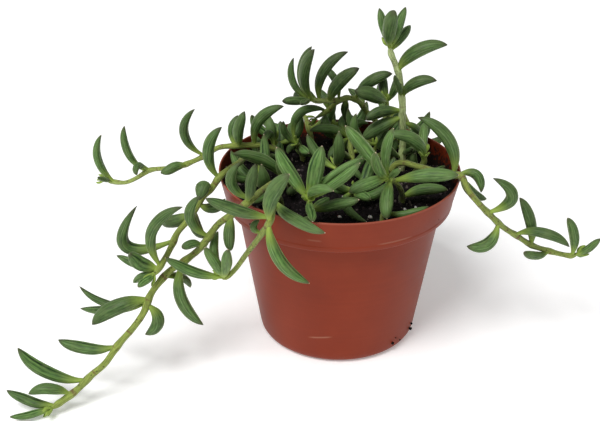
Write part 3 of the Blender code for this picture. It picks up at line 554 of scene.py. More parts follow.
def rooted(route):
    """The route with its buried end added, straight down in the soil."""
    x, y, _ = route[0]
    ground = soil_height(x, y)
    return [(x, y, ground - ROOT_DEPTH), (x, y, ground - ROOT_DEPTH / 2), *route]


def sprig_route(x, y, height):
    """A short stem that leans a little outwards as it rises."""
    ground = soil_height(x, y) + STRAIGHT_RISE
    lean = SPRIG_LEAN * np.array([x, y]) / (math.hypot(x, y) + 1e-9)
    return [(x + lean[0] * out, y + lean[1] * out, ground + up)
            for out, up in ((0, 0), (height / 3, height / 2), (height, height))]


def outward(ahead, start, turn):
    """The direction square to a stem that is turned this far round it from a start."""
    side = square_to(start, ahead)
    return math.cos(turn) * side + math.sin(turn) * np.cross(ahead, side)


def spiral_leaves(route, first, count, spacing, ranges, draw):
    """Leaves by rule: one after another round the stem, each curving up towards the light."""
    line, places = smooth_route(route, FINE_STEP)
    lengths, sags, widths = ranges
    leaves = []
    turn = draw.uniform(0, 2 * math.pi)
    for number in range(count):
        reach = min(first + number * spacing, places[-1])
        index = int(np.searchsorted(places, reach))
        ahead = unit(line[min(index + 1, len(line) - 1)] - line[max(index - 2, 0)])
        out = outward(ahead, SPIRAL_START, turn)
        length = draw.uniform(*lengths)
        way = unit(out + RULE_FORWARD * ahead + np.array([0, 0, RULE_LIFT])) * length
        low_side = unit(np.array([out[0], out[1], -RULE_LIFT]))
        leaves.append((reach, way, low_side, draw.uniform(*sags), draw.uniform(*widths)))
        turn += SPIRAL_STEP
    return leaves


def all_stems():
    """Every stem's (thick, thin, route), the sprigs' too, by node. A route starts just over the soil."""
    stems = {}
    for name, (thick, thin, route) in {**ROUTES, **BACK_ROUTES}.items():
        x, y, _ = route[0]
        stems[name] = (thick, thin, [(x, y, soil_height(x, y) + STRAIGHT_RISE), *route[1:]])
    for name, (x, y, height, _) in SPRIGS.items():
        stems[name] = (*SPRIG_THICKNESS, sprig_route(x, y, height))
    return stems


def stem_parts(name, stems):
    """A node's stem, with its buried end, and its branches, each as (thick, thin, route)."""
    thick, thin, route = stems[name]
    return [(thick, thin, rooted(route)), *BRANCHES.get(name, {}).values()]


def wanted_leaves(stems):
    """Every leaf that is to grow, as (node, base, way, bow, sag, width): first as listed, then by rule."""
    for key, rows in LEAVES.items():
        name, _, branch = key.partition(".")
        route = BRANCHES[name][branch][2] if branch else stems[name][2]
        for reach, way, letters, sag, width in rows:
            yield name, point_along(route, reach), way, bow_direction(letters, way), sag, width
    draw = random.Random(LEAF_SEED)
    for name in [*BACK_ROUTES, *SPRIGS, *FOOT_LEAVES]:
        rule = (BACK_FIRST, BACK_LEAVES, SPIRAL_SPACING, GROWN_LEAF)
        if name in SPRIGS:
            rule = (SPRIG_FIRST, SPRIGS[name][3], SPRIG_SPACING, GROWN_LEAF)
        elif name in FOOT_LEAVES:
            rule = (FOOT_FIRST, FOOT_LEAVES[name], FOOT_SPACING, FOOT_LEAF)
        route = stems[name][2]
        for reach, way, bow, sag, width in spiral_leaves(route, *rule, draw):
            yield name, point_along(route, reach), way, bow, sag, width


def placed_leaves(stems):
    """Every node's leaves, each bent clear of the stems and of the leaves placed before it."""
    space = Space()
    for name in stems:
        for thick, thin, route in stem_parts(name, stems):
            line, _ = smooth_route(smooth_route(route, STEM_STEP)[0], FINE_STEP)
            space.add(line, np.linspace(thick, thin, len(line)), name)
    leaves = {name: [] for name in stems}
    for name, *wish in wanted_leaves(stems):
        leaf = place_leaf(space, name, *wish)
        if leaf:
            leaves[name].append(leaf)
    return leaves


def srgb(code):
    """The linear colour of an sRGB hex value."""
    shares = [int(code[place:place + 2], 16) / 255 for place in (0, 2, 4)]
    return (*[share / 12.92 if share <= 0.04045 else ((share + 0.055) / 1.055)**2.4 for share in shares], 1.0)


def feed(node, inputs):
    """Sets a node's inputs, in their order or by name, each to a value, a hex colour, a socket or a node.

    Only the inputs in use count, and a node is linked from its first output in use.
    """
    sockets = [socket for socket in node.inputs if socket.enabled]
    for key, value in inputs.items() if isinstance(inputs, dict) else enumerate(inputs):
        socket = sockets[key] if isinstance(key, int) else next(s for s in sockets if s.name == key)
        if isinstance(value, bpy.types.Node):
            value = next(output for output in value.outputs if output.enabled)
        if isinstance(value, bpy.types.NodeSocket):
            node.id_data.links.new(value, socket)
        else:
            socket.default_value = srgb(value) if socket.type == "RGBA" else value


def add(tree, kind, inputs=(), stops=(), **settings):
    """Adds a node, a shader node where its kind doesn't say, with its settings, inputs and colour stops."""
    made = tree.nodes.new(kind if "Node" in kind else f"ShaderNode{kind}")
    for name, value in settings.items():
        setattr(made, name, value)
    feed(made, inputs)
    if stops:
        elements = made.color_ramp.elements
        while len(elements) < len(stops):
            elements.new(0.5)
        for element, (place, _) in zip(elements, stops):
            element.position = place
        for element, (_, colour) in zip(elements, stops):
            element.color = srgb(colour)
    return made


def new_material(name, **constants):
    """A named material, its shader with constants on the shader's own sockets, and what adds its nodes."""
    made = bpy.data.materials.new(name)
    made.use_nodes = True
    shader = made.node_tree.nodes["Principled BSDF"]
    feed(shader, {key.replace("_", " "): value for key, value in constants.items()})
    return made, shader, partial(add, made.node_tree)


def leaf_skin():
    """Waxy cuticle over watery flesh: dark lengthways windows, painted shade along the groove, pale margins,
    short down and a dry point.
    """
    made, shader, node = new_material(
        "waxy_leaf_cuticle", IOR=1.4, Specular_IOR_Level=0.3, Subsurface_Weight=0.05, Subsurface_Scale=0.0012,
        Subsurface_Radius=(0.5, 1.0, 0.25), Sheen_Weight=0.55, Sheen_Roughness=0.3, Sheen_Tint="b8c48e")
    part, tone, seed = (
        node("Attribute", attribute_name=name).outputs["Fac"] for name in ("part", "tone", "seed"))
    place = node("TexCoord").outputs["Object"]
    around = node("Attribute", attribute_name="around").outputs["Vector"]
    x, y, _ = node("SeparateXYZ", (around,)).outputs

    # How far round from the groove, 0, to the ridge, 1, with a slight waver
    behind = node("Math", (x, -1.0), operation="MULTIPLY")
    angle = node("Math", (y, behind), operation="ARCTAN2")
    turn = node("Math", (angle,), operation="ABSOLUTE")
    waver = node("TexNoise", {"Vector": place, "Scale": 160.0, "Detail": 2.0})
    wavered = node("Math", (waver, 0.22, turn), operation="MULTIPLY_ADD")
    round_share = node("MapRange", (wavered, 0.1, 3.25))
    # The first, near-black bands are partly the leaf's window and partly painted shade in the groove
    old, young = (
        node("ValToRGB", (round_share,), [(row[0], row[age]) for row in LEAF_BANDS]) for age in (1, 2))
    flesh = node("Mix", (tone, old, young), data_type="RGBA")

    # Fine stripes that run along the leaf, and a lightness of each leaf's own
    shift = node("Math", (seed, 57.0), operation="MULTIPLY")
    deep = node("Math", (part, 1.3, shift), operation="MULTIPLY_ADD")
    skin_place = node("CombineXYZ", (x, y, deep))
    stripes = node("TexNoise", {"Vector": skin_place, "Scale": 4.2, "Detail": 4.0, "Roughness": 0.65})
    stripe_share = node("MapRange", (stripes, 0.36, 0.64, 0.55, 1.34))
    lightness = node("MapRange", (node("Math", (shift,), operation="FRACT"), 0.0, 1.0, 0.82, 1.18))
    shares = node("Math", (stripe_share, lightness), operation="MULTIPLY")
    colour = node("Mix", (1.0, flesh, shares), data_type="RGBA", blend_type="MULTIPLY")

    # The bloom and down show as a grey film in patches a few millimetres wide
    patches = node("TexNoise", {"Vector": place, "Scale": 260.0, "Detail": 4.0, "Roughness": 0.62})
    bloom_share = node("MapRange", (patches, 0.45, 0.72, 0.0, 0.42))

    # A brownish grey film lies on the ridge, thicker towards the point
    outward = node("MapRange", (round_share, 0.3, 0.85))
    onward = node("MapRange", (part, 0.3, 0.95, 0.0, 0.6))
    film_share = node("Math", (outward, onward), operation="MULTIPLY")
    film = node("Mix", (tone, "3a3f2b", "5f7a45"), data_type="RGBA")

    # The stalk is lime, a bud all over, and the point dries to a dark tip, with a pale dot on a young leaf
    stalk_share = node("MapRange", (part, 0.0, 0.4, 0.95, 0.0), interpolation_type="SMOOTHSTEP")
    bud_share = node("MapRange", (tone, 1.3, 1.5, 0.0, 0.65))
    lime_share = node("Math", (stalk_share, bud_share), operation="MAXIMUM")
    lime = node("Mix", (tone, "73893a", "a4bb50"), data_type="RGBA")
    tip_share = node("MapRange", (part, 0.88, 0.985, 0.0, 0.85), interpolation_type="SMOOTHSTEP")
    tip = node("Mix", (tone, "2a2320", "5a633f"), data_type="RGBA")
    point = node("MapRange", (part, 0.988, 0.994))
    youth = node("MapRange", (tone, 0.55, 0.8))
    dot_share = node("Math", (point, youth), operation="MULTIPLY")
    for share, layer in (
            (bloom_share, "707f50"), (film_share, film), (lime_share, lime), (tip_share, tip),
            (dot_share, "d8bda6")):
        colour = node("Mix", (share, colour, layer), data_type="RGBA")

    roughness = node("MapRange", (patches, 0.3, 0.7, 0.4, 0.6))
    relief = node("Bump", {"Height": stripes, "Strength": 0.5, "Distance": 0.0003})
    feed(shader, {"Base Color": colour, "Roughness": roughness, "Normal": relief})
    return made


def stem_skin():
    """Thin green bark of a soft stem: olive, striped along, with brown pores and ragged leaf scars."""
    made, shader, node = new_material(
        "soft_stem_bark", IOR=1.4, Specular_IOR_Level=0.3, Subsurface_Weight=0.06, Subsurface_Scale=0.0012,
        Subsurface_Radius=(0.6, 1.0, 0.3), Sheen_Weight=0.15, Sheen_Roughness=0.5)
    part, tone, scar = (
        node("Attribute", attribute_name=name).outputs["Fac"] for name in ("part", "tone", "scar"))
    place = node("TexCoord").outputs["Object"]
    around = node("Attribute", attribute_name="around").outputs["Vector"]
    x, y, _ = node("SeparateXYZ", (around,)).outputs

    green = node("Mix", (tone, "78833a", "8d9d49"), data_type="RGBA")
    pale_share = node("MapRange", (tone, 1.0, 2.0))
    aged = node("Mix", (pale_share, green, "c2d294"), data_type="RGBA")
    skin_place = node("CombineXYZ", (x, y, part))
    stripes = node("TexNoise", {"Vector": skin_place, "Scale": 3.4, "Detail": 4.0, "Roughness": 0.7})
    stripe_share = node("MapRange", (stripes, 0.36, 0.64, 0.6, 1.3))
    colour = node("Mix", (1.0, aged, stripe_share), data_type="RGBA", blend_type="MULTIPLY")

    # Pores are about 0.3 mm across, and stand 1 to 2 mm apart. A pale stem shows fewer marks
    pores = node("TexVoronoi", {"Vector": place, "Scale": 520.0, "Randomness": 1.0})
    pore_share = node("MapRange", (pores, 0.12, 0.27, 0.95, 0.0))
    some = node("TexNoise", {"Vector": place, "Scale": 300.0, "Detail": 2.0})
    some_share = node("MapRange", (some, 0.42, 0.54))
    some_pores = node("Math", (pore_share, some_share), operation="MULTIPLY")
    ragged = node("TexNoise", {"Vector": place, "Scale": 380.0, "Detail": 4.0, "Roughness": 0.7})
    scar_edge = node("Math", (scar, ragged), operation="MULTIPLY")
    scar_share = node("MapRange", (scar_edge, 0.34, 0.52, 0.0, 0.8))
    marked = node("MapRange", (pale_share, 0.0, 1.0, 1.0, 0.25))
    for share, layer in ((some_pores, "3d351f"), (scar_share, "6b4a33")):
        marks = node("Math", (share, marked), operation="MULTIPLY")
        colour = node("Mix", (marks, colour, layer), data_type="RGBA")

    roughness = node("MapRange", (some, 0.3, 0.7, 0.45, 0.65))
    relief = node("Bump", {"Height": stripes, "Strength": 0.7, "Distance": 0.0005})
    feed(shader, {"Base Color": colour, "Roughness": roughness, "Normal": relief})
    return made


def pot_plastic():
    """Thin injection-moulded polypropylene, coloured through: matt, with a few pale rubs, painted highlights
    on the lip and collar, painted shade over the inner wall, and dust inside.
    """
    made, shader, node = new_material("moulded_polypropylene_terracotta", IOR=1.49, Specular_IOR_Level=0.2)
    inner = node("Attribute", attribute_name="inner").outputs["Fac"]
    place = node("TexCoord").outputs["Object"]
    x, y, height = node("SeparateXYZ", (place,)).outputs
    clouds = node("TexNoise", {"Vector": place, "Scale": 28.0, "Detail": 5.0, "Roughness": 0.6})
    body = node("ValToRGB", (clouds,), ((0.32, "7b2b12"), (0.5, "822e13"), (0.7, "883318")))

    # Draw marks from the mould: very faint fine lines round the pot
    stretched = node("Mapping", {"Vector": place, "Scale": (12.0, 12.0, 900.0)})
    lines = node("TexNoise", {"Vector": stretched, "Scale": 1.0, "Detail": 2.0})
    line_share = node("MapRange", (lines, 0.4, 0.7, 0.985, 1.02))
    colour = node("Mix", (1.0, body, line_share), data_type="RGBA", blend_type="MULTIPLY")

    # Short pale marks on the front: a rub low on the body, and arcs on the collar that are partly rubs and
    # partly painted highlight
    front = node("Math", (y, 0.0), operation="LESS_THAN")
    for middle, level, slope, length, strength in RUBS_AND_HIGHLIGHTS:
        across = node("Math", (x, -middle * MM), operation="ADD")
        course = node("Math", (across, slope, level * MM), operation="MULTIPLY_ADD")
        off = node("Math", (height, course), operation="SUBTRACT")
        from_course, from_middle = (node("Math", (way,), operation="ABSOLUTE") for way in (off, across))
        thick = node("MapRange", (from_course, *[MM * edge for edge in RUB_AND_HIGHLIGHT_EDGES], strength, 0.0))
        long = node("MapRange", (from_middle, *[MM * length * end for end in RUB_AND_HIGHLIGHT_ENDS], 1.0, 0.0))
        rub_and_highlight = node("Math", (thick, long), operation="MULTIPLY")
        rub_and_highlight_share = node("Math", (rub_and_highlight, front), operation="MULTIPLY")
        # Pale colour of the marks. On the collar it stands partly for painted highlight
        colour = node("Mix", (rub_and_highlight_share, colour, "a8755e"), data_type="RGBA")

    # The lip is painted pale as a highlight. Painted shade darkens the whole inner wall, and soil dust
    # darkens it more, most of all where the soil meets it
    # Painted highlight: a pale line along the lip
    lip = node("MapRange", (height, *[MM * (POT_HEIGHT - depth) for depth in LIP_HIGHLIGHT_DEPTHS], 0.0, 0.4))
    dust = node("TexNoise", {"Vector": place, "Scale": 700.0, "Detail": 4.0, "Roughness": 0.7})
    low = node("MapRange", (height, MM * SOIL_LEVEL, MM * DUST_TOP, 0.3, -0.03))
    dust_level = node("Math", (dust, low), operation="ADD")
    dusty = node("MapRange", (dust_level, 0.54, 0.64))
    dust_inside = node("Math", (dusty, inner), operation="MULTIPLY")
    # Painted shade: the whole inner wall is darkened to a deep red
    painted_inner_shade = node("Math", (inner, 0.7), operation="MULTIPLY")
    for share, layer in ((lip, "b06a58"), (painted_inner_shade, "54200f"), (dust_inside, "1f1714")):
        colour = node("Mix", (share, colour, layer), data_type="RGBA")

    matt = node("MapRange", (clouds, 0.3, 0.7, 0.42, 0.5))
    grain = node("TexNoise", {"Vector": place, "Scale": 1600.0, "Detail": 2.0})
    fine = node("Bump", {"Height": grain, "Strength": 0.1, "Distance": 0.0001})
    ripple = node("Bump", {"Height": lines, "Strength": 0.1, "Distance": 0.0002, "Normal": fine})
    feed(shader, {"Base Color": colour, "Roughness": matt, "Normal": ripple})
    return made


def peat(name, tinted_by_crumb):
    """Moist dark peat: nearly black, its own dark colour deepened with painted shade, with brown fibre and
    grey specks, a little glossy where it is wet.
    """
    made, shader, node = new_material(name, IOR=1.4, Specular_IOR_Level=0.2)
    place = node("TexCoord").outputs["Object"]
    lumps = node("TexNoise", {"Vector": place, "Scale": 420.0, "Detail": 6.0, "Roughness": 0.7})
    # The body is the peat's own dark colour, deepened to near black as painted shade
    body = node("ValToRGB", (lumps,), ((0.3, "070505"), (0.5, "100c0c"), (0.62, "1b1517"), (0.72, "2e2629")))
    specks = node("TexVoronoi", {"Vector": place, "Scale": 900.0})
    speck_share = node("MapRange", (specks, 0.08, 0.2, 0.5, 0.0))
    colour = node("Mix", (speck_share, body, "4a3f46"), data_type="RGBA")
    if tinted_by_crumb:
        tint = node("Attribute", attribute_name="crumb_tint").outputs["Fac"]
        tints = node("ValToRGB", (tint,), (
            (0.0, "0a0707"), (0.5, "140f0f"), (0.74, "2a201d"), (0.9, "4c4446"), (1.0, "938679")))
        colour = node("Mix", (0.65, colour, tints), data_type="RGBA")
    wet = node("MapRange", (lumps, 0.3, 0.7, 0.5, 0.9))
    relief = node("Bump", {"Height": lumps, "Strength": 0.8, "Distance": 0.0008})
    feed(shader, {"Base Color": colour, "Roughness": wet, "Normal": relief})
    return made


def perlite_glass():
    """Expanded volcanic glass: white, porous grains with darker stains from the peat."""
    made, shader, node = new_material(
        "expanded_perlite", IOR=1.5, Subsurface_Weight=0.1, Subsurface_Scale=0.0006)
    place = node("TexCoord").outputs["Object"]
    stain = node("TexNoise", {"Vector": place, "Scale": 900.0, "Detail": 4.0})
    colour = node("ValToRGB", (stain,), ((0.3, "8d8378"), (0.46, "d9d3c8"), (0.6, "f0ede6")))
    pits = node("TexVoronoi", {"Vector": place, "Scale": 2600.0})
    rough = node("MapRange", (pits, 0.0, 1.0, 0.9, 0.7))
    relief = node("Bump", {"Height": pits, "Strength": 0.6, "Distance": 0.0002})
    feed(shader, {"Base Color": colour, "Roughness": rough, "Normal": relief})
    return made


def studio_paper():
    """Matt white background paper, lit from behind as well as from the front."""
    made, shader, node = new_material(
        "studio_paper", Roughness=0.95, Specular_IOR_Level=0.1, Emission_Color="ffffff",
        Emission_Strength=PAPER_GLOW)
    place = node("TexCoord").outputs["Object"]
    fibre = node("TexNoise", {"Vector": place, "Scale": 3.0, "Detail": 3.0})
    feed(shader, {"Base Color": node("ValToRGB", (fibre,), ((0.3, "fafafa"), (0.7, "fcfcfc")))})
    return made


def new_tree(name, inputs):
    """A geometry node tree with named inputs, its sockets of what is given, and what adds its nodes."""
    tree = bpy.data.node_groups.new(name, "GeometryNodeTree")
    tree.interface.new_socket("Geometry", in_out="OUTPUT", socket_type="NodeSocketGeometry")
    for label, kind in {"Geometry": "Geometry", **inputs}.items():
        tree.interface.new_socket(label, in_out="INPUT", socket_type=f"NodeSocket{kind}")
    return tree, tree.nodes.new("NodeGroupInput").outputs, partial(add, tree)


def flesh_tree():
    """Clothes guide lines in flesh: a round section, flattened along the line's bow, grooved inside it."""
    tree, given, node = new_tree("flesh_on_guide_lines", {
        "Sides": "Int", "Thickness": "Float", "Groove Depth": "Float", "Groove Width": "Float",
        "Rib Count": "Float", "Rib Depth": "Float", "Skin": "Material"})

    # The section, in the bow's direction along X, with its groove at minus X
    circle = node("GeometryNodeCurvePrimitiveCircle", {"Resolution": given["Sides"], "Radius": 1.0})
    place = node("GeometryNodeInputPosition")
    named = node("GeometryNodeStoreNamedAttribute", {
        "Geometry": circle, "Name": "around", "Value": place}, data_type="FLOAT_VECTOR", domain="POINT")
    x, y, _ = node("SeparateXYZ", (place,)).outputs
    behind = node("Math", (x, -1.0), operation="MULTIPLY")
    turn = node("Math", (y, behind), operation="ARCTAN2")
    spread = node("Math", (turn, given["Groove Width"]), operation="DIVIDE")
    square = node("Math", (spread, spread), operation="MULTIPLY")
    fall = node("Math", (node("Math", (square, -1.0), operation="MULTIPLY"),), operation="EXPONENT")
    groove = node("Math", (fall, given["Groove Depth"]), operation="MULTIPLY")
    rib_turn = node("Math", (turn, given["Rib Count"]), operation="MULTIPLY")
    wave = node("Math", (rib_turn,), operation="COSINE")
    ribs = node("Math", (wave, given["Rib Depth"]), operation="MULTIPLY")
    swell = node("Math", (ribs, groove), operation="SUBTRACT")
    reach = node("Math", (swell, 1.0), operation="ADD")
    flat = node("Math", (x, given["Thickness"]), operation="MULTIPLY")
    flattened = node("CombineXYZ", (flat, y, 0.0))
    shaped = node("VectorMath", {"Vector": flattened, "Scale": reach}, operation="SCALE")
    section = node("GeometryNodeSetPosition", {"Geometry": named, "Position": shaped})

    # The guide lines carry their own radius and the way that they bow
    lines = node("GeometryNodeMeshToCurve", {"Mesh": given["Geometry"]})
    bow = node("GeometryNodeInputNamedAttribute", {"Name": "bow"}, data_type="FLOAT_VECTOR")
    radius = node("GeometryNodeInputNamedAttribute", {"Name": "radius"}, data_type="FLOAT")
    turned_lines = node("GeometryNodeSetCurveNormal", {"Curve": lines, "Normal": bow}, mode="FREE")
    flesh = node("GeometryNodeCurveToMesh", {
        "Curve": turned_lines, "Profile Curve": section, "Scale": radius, "Fill Caps": True})
    smooth = node("GeometryNodeSetShadeSmooth", {"Geometry": flesh, "Shade Smooth": True})
    finished = node("GeometryNodeSetMaterial", {"Geometry": smooth, "Material": given["Skin"]})
    node("NodeGroupOutput", {"Geometry": finished})
    return tree


def grain_tree():
    """Scatters irregular grains over a surface, each turned at random and stretched between two sizes."""
    tree, given, node = new_tree("grains_on_ground", {
        "Grains per Square Metre": "Float", "Smallest": "Vector", "Largest": "Vector", "Roundness": "Int",
        "Lumpiness": "Float", "Seed": "Int", "Grain Finish": "Material"})
    size_seed, tint_seed = (node("Math", (given["Seed"], step), operation="ADD") for step in (1.0, 2.0))
    spots = node("GeometryNodeDistributePointsOnFaces", {
        "Mesh": given["Geometry"], "Density": given["Grains per Square Metre"], "Seed": given["Seed"]})
    ball = node("GeometryNodeMeshIcoSphere", {"Radius": 1.0, "Subdivisions": given["Roundness"]})
    place = node("GeometryNodeInputPosition")
    bumps = node("TexNoise", {"Vector": place, "Scale": 1.4, "Detail": 1.0})
    centred = node("VectorMath", (bumps.outputs["Color"], (0.5, 0.5, 0.5)), operation="SUBTRACT")
    offset = node("VectorMath", {"Vector": centred, "Scale": given["Lumpiness"]}, operation="SCALE")
    grain = node("GeometryNodeSetPosition", {"Geometry": ball, "Offset": offset})
    turn = node("FunctionNodeRandomValue", {
        "Min": (0.0, 0.0, 0.0), "Max": GRAIN_TURNS, "Seed": given["Seed"]}, data_type="FLOAT_VECTOR")
    size = node("FunctionNodeRandomValue", {
        "Min": given["Smallest"], "Max": given["Largest"], "Seed": size_seed}, data_type="FLOAT_VECTOR")
    placed = node("GeometryNodeInstanceOnPoints", {
        "Points": spots, "Instance": grain, "Rotation": node("FunctionNodeEulerToRotation", (turn,)),
        "Scale": size})
    tint = node("FunctionNodeRandomValue", {"Min": 0.0, "Max": 1.0, "Seed": tint_seed}, data_type="FLOAT")
    tinted = node("GeometryNodeStoreNamedAttribute", {
        "Geometry": placed, "Name": "crumb_tint", "Value": tint}, data_type="FLOAT", domain="INSTANCE")
    real = node("GeometryNodeRealizeInstances", {"Geometry": tinted})
    finished = node("GeometryNodeSetMaterial", {"Geometry": real, "Material": given["Grain Finish"]})
    node("NodeGroupOutput", {"Geometry": finished})
    return tree


def linked(name, data):
    """A new object with this data, linked to the scene."""
    made = bpy.data.objects.new(name, data)
    bpy.context.scene.collection.objects.link(made)
    return made


def guide_object(name, lines):
    """A mesh of guide lines. Each line is (points, {attribute: values}); its points are in millimetres."""
    points, edges, values = [], [], {}
    for line, attributes in lines:
        start = len(points)
        points += [tuple(MM * np.array(point)) for point in line]
        edges += [(place, place + 1) for place in range(start, len(points) - 1)]
        for key, column in attributes.items():
            values.setdefault(key, []).extend(column)
    mesh = bpy.data.meshes.new(name)
    mesh.from_pydata(points, edges, [])
    for key, column in values.items():
        column = np.array(column, np.float32)
        vector = column.ndim == 2
        layer = mesh.attributes.new(key, "FLOAT_VECTOR" if vector else "FLOAT", "POINT")
        layer.data.foreach_set("vector" if vector else "value", column.ravel())
    return linked(name, mesh)


def apply_modifier(target):
    """Turns an object with its modifier to a plain mesh with none."""
    bpy.context.view_layer.update()
    graph = bpy.context.evaluated_depsgraph_get()
    plain = bpy.data.meshes.new_from_object(target.evaluated_get(graph))
    target.modifiers.clear()
    target.data = plain


def grow(guide, tree, inputs):
    """Runs a node tree on an object, applied, and returns the object."""
    modifier = guide.modifiers.new("grow", "NODES")
    modifier.node_group = tree
    for item in tree.interface.items_tree:
        if item.in_out == "INPUT" and item.name in inputs:
            modifier[item.identifier] = inputs[item.name]
    apply_modifier(guide)
    return guide


def ring(radius, height, sides):
    """Points round Z at a radius and a height."""
    turns = [2 * math.pi * side / sides for side in range(sides)]
    return [(radius * math.cos(turn), radius * math.sin(turn), height) for turn in turns]


def band(low, high, sides):
    """Faces between two rings, which start at these two points."""
    return [(low + side, low + (side + 1) % sides, high + (side + 1) % sides, high + side)
            for side in range(sides)]


def turned(profile, sides):
    """Points and faces of a profile turned round Z. The profile starts and ends on the axis."""
    points = [(0.0, 0.0, profile[0][1]), (0.0, 0.0, profile[-1][1])]
    for radius, height in profile[1:-1]:
        points += ring(radius, height, sides)
    last = len(points) - sides
    faces = [face for low in range(2, last, sides) for face in band(low, low + sides, sides)]
    for side in range(sides):
        after = (side + 1) % sides
        faces += [(0, 2 + after, 2 + side), (1, last + side, last + after)]
    return points, faces


def mesh_object(name, points, faces, finish=None):
    """A smooth mesh object from points in millimetres."""
    mesh = bpy.data.meshes.new(name)
    mesh.from_pydata([tuple(MM * value for value in point) for point in points], [], faces)
    mesh.shade_smooth()
    if finish:
        mesh.materials.append(finish)
    return linked(name, mesh)


def rounded(corners, step):
    """A profile from corners, each (radius, height, rounding), with its long runs split into steps."""
    places = [np.array(corner[:2], float) for corner in corners]
    knots = [places[0]]
    for index in range(1, len(corners) - 1):
        here, rounding = places[index], corners[index][2]
        before = here + rounding * unit(places[index - 1] - here)
        after = here + rounding * unit(places[index + 1] - here)
        for part in np.linspace(0, 1, ROUNDING_STEPS):
            knots.append((1 - part)**2 * before + 2 * part * (1 - part) * here + part**2 * after)
    knots.append(places[-1])
    points = []
    for start, end in zip(knots, knots[1:]):
        pieces = max(1, round(float(np.linalg.norm(end - start)) / step))
        points += [tuple(start + (end - start) * piece / pieces) for piece in range(pieces)]
    return points + [tuple(knots[-1])]


def pot_outline():
    """The pot's outer side as in the solids, as (radius, height), from its flat base up to its rim."""
    flat = POT_BASE_RADIUS - POT_CORNER_RADIUS
    wall_slope = math.atan2(POT_BODY_TOP_RADIUS - POT_BASE_RADIUS, COLLAR_FOOT)
    turns = np.linspace(0.0, math.pi / 2 - wall_slope, POT_CORNER_POINTS)
    return [
        *[(flat + POT_CORNER_RADIUS * math.sin(turn), POT_CORNER_RADIUS * (1 - math.cos(turn)))
          for turn in turns],
        (POT_BODY_TOP_RADIUS, COLLAR_FOOT - POT_LEDGE_DROP),
        (POT_COLLAR_FOOT_RADIUS, COLLAR_FOOT),
        (POT_RIM_RADIUS, POT_HEIGHT - POT_RIM_BEVEL),
        (POT_RIM_RADIUS - POT_RIM_BEVEL, POT_HEIGHT),
    ]


def make_pot(finish):
    """The moulded pot: a soft step under the collar, a faint bead on it, a rounded lip and drain holes."""
    outside = [
        (0.0, 0.0, 0.0),
        (POT_BASE_RADIUS - POT_BASE_EASE, 0.0, POT_CORNER_RADIUS),
        (POT_BODY_TOP_RADIUS, COLLAR_FOOT - POT_LEDGE_DROP, LEDGE_ROUNDING),
        (POT_COLLAR_FOOT_RADIUS, COLLAR_FOOT, COLLAR_ROUNDING),
        *[(POT_COLLAR_FOOT_RADIUS + swell, COLLAR_FOOT + rise, BEAD_ROUNDING) for swell, rise in BEAD],
        (POT_RIM_RADIUS, POT_HEIGHT, LIP_ROUNDINGS[0]),
    ]
    inside = [
        (POT_RIM_RADIUS - POT_WALL, POT_HEIGHT, LIP_ROUNDINGS[1]),
        (POT_COLLAR_FOOT_RADIUS - POT_WALL, COLLAR_FOOT + POT_WALL, COLLAR_ROUNDING),
        (POT_BODY_TOP_RADIUS - POT_WALL, COLLAR_FOOT - POT_LEDGE_DROP, LEDGE_ROUNDING),
        (POT_BASE_RADIUS - POT_WALL, POT_WALL, POT_CORNER_RADIUS - POT_WALL),
        (0.0, POT_WALL, 0.0),
    ]
    profile = rounded(outside + inside, POT_PROFILE_STEP)
    pot = mesh_object("moulded_pot", *turned(profile, POT_TURN_SIDES), finish)
    tops = [index for index, (_, height) in enumerate(profile) if height > POT_HEIGHT - 1e-6]
    rings = np.arange(len(profile)) > tops[len(tops) // 2]
    inner = np.concatenate([[0.0, 1.0], np.repeat(rings[1:-1], POT_TURN_SIDES)]).astype(np.float32)
    pot.data.attributes.new("inner", "FLOAT", "POINT").data.foreach_set("value", inner)
    bore = DRAIN_RADIUS
    points, faces = turned([(0.0, -bore), (bore, -bore), (bore, bore), (0.0, bore)], DRAIN_SIDES)
    drills = []
    for hole in range(DRAIN_HOLES):
        angle = 2 * math.pi * (hole + 0.5) / DRAIN_HOLES
        x, y = DRAIN_CIRCLE_RADIUS * math.cos(angle), DRAIN_CIRCLE_RADIUS * math.sin(angle)
        drills.append(mesh_object("drill", [(x + px, y + py, pz) for px, py, pz in points], faces))
    cut(pot, drills)
    pot.data.set_sharp_from_angle(angle=POT_SHARP_ANGLE)
    return pot


def cut(target, tools):
    """Cuts the tools out of the target with one Boolean, applied, and removes them."""
    group = bpy.data.collections.new("drills")
    bpy.context.scene.collection.children.link(group)
    for tool in tools:
        bpy.context.scene.collection.objects.unlink(tool)
        group.objects.link(tool)
    modifier = target.modifiers.new("cut", "BOOLEAN")
    modifier.operation = "DIFFERENCE"
    modifier.operand_type = "COLLECTION"
    modifier.collection = group
    modifier.solver = "EXACT"
    apply_modifier(target)
    for tool in tools:
        bpy.data.objects.remove(tool)
    bpy.data.collections.remove(group)


def soil_relief(x, y):
    """The soil's top with its lumps, pits and crumbs."""
    height = soil_height(x, y)
    for scale, depth in RELIEF_SCALES:
        height += depth * noise.noise(Vector((x / scale, y / scale, scale)))
    return height


def soil_top():
    """Points and faces of the soil's top alone, from the pot's wall in to the middle."""
    edge = inner_radius(SOIL_LEVEL) + SOIL_TUCK
    radii = np.append(np.arange(SOIL_RING_STEP, edge, SOIL_RING_STEP), edge)[::-1]
    places = [place for radius in radii for place in ring(radius, 0.0, SOIL_TURN_SIDES)] + [(0.0, 0.0, 0.0)]
    points = [(x, y, soil_relief(x, y)) for x, y, _ in places]
    middle = len(points) - 1
    last = middle - SOIL_TURN_SIDES
    faces = []
    for outer in range(0, last, SOIL_TURN_SIDES):
        faces += band(outer, outer + SOIL_TURN_SIDES, SOIL_TURN_SIDES)
    faces += [(last + side, last + (side + 1) % SOIL_TURN_SIDES, middle) for side in range(SOIL_TURN_SIDES)]
    return points, faces


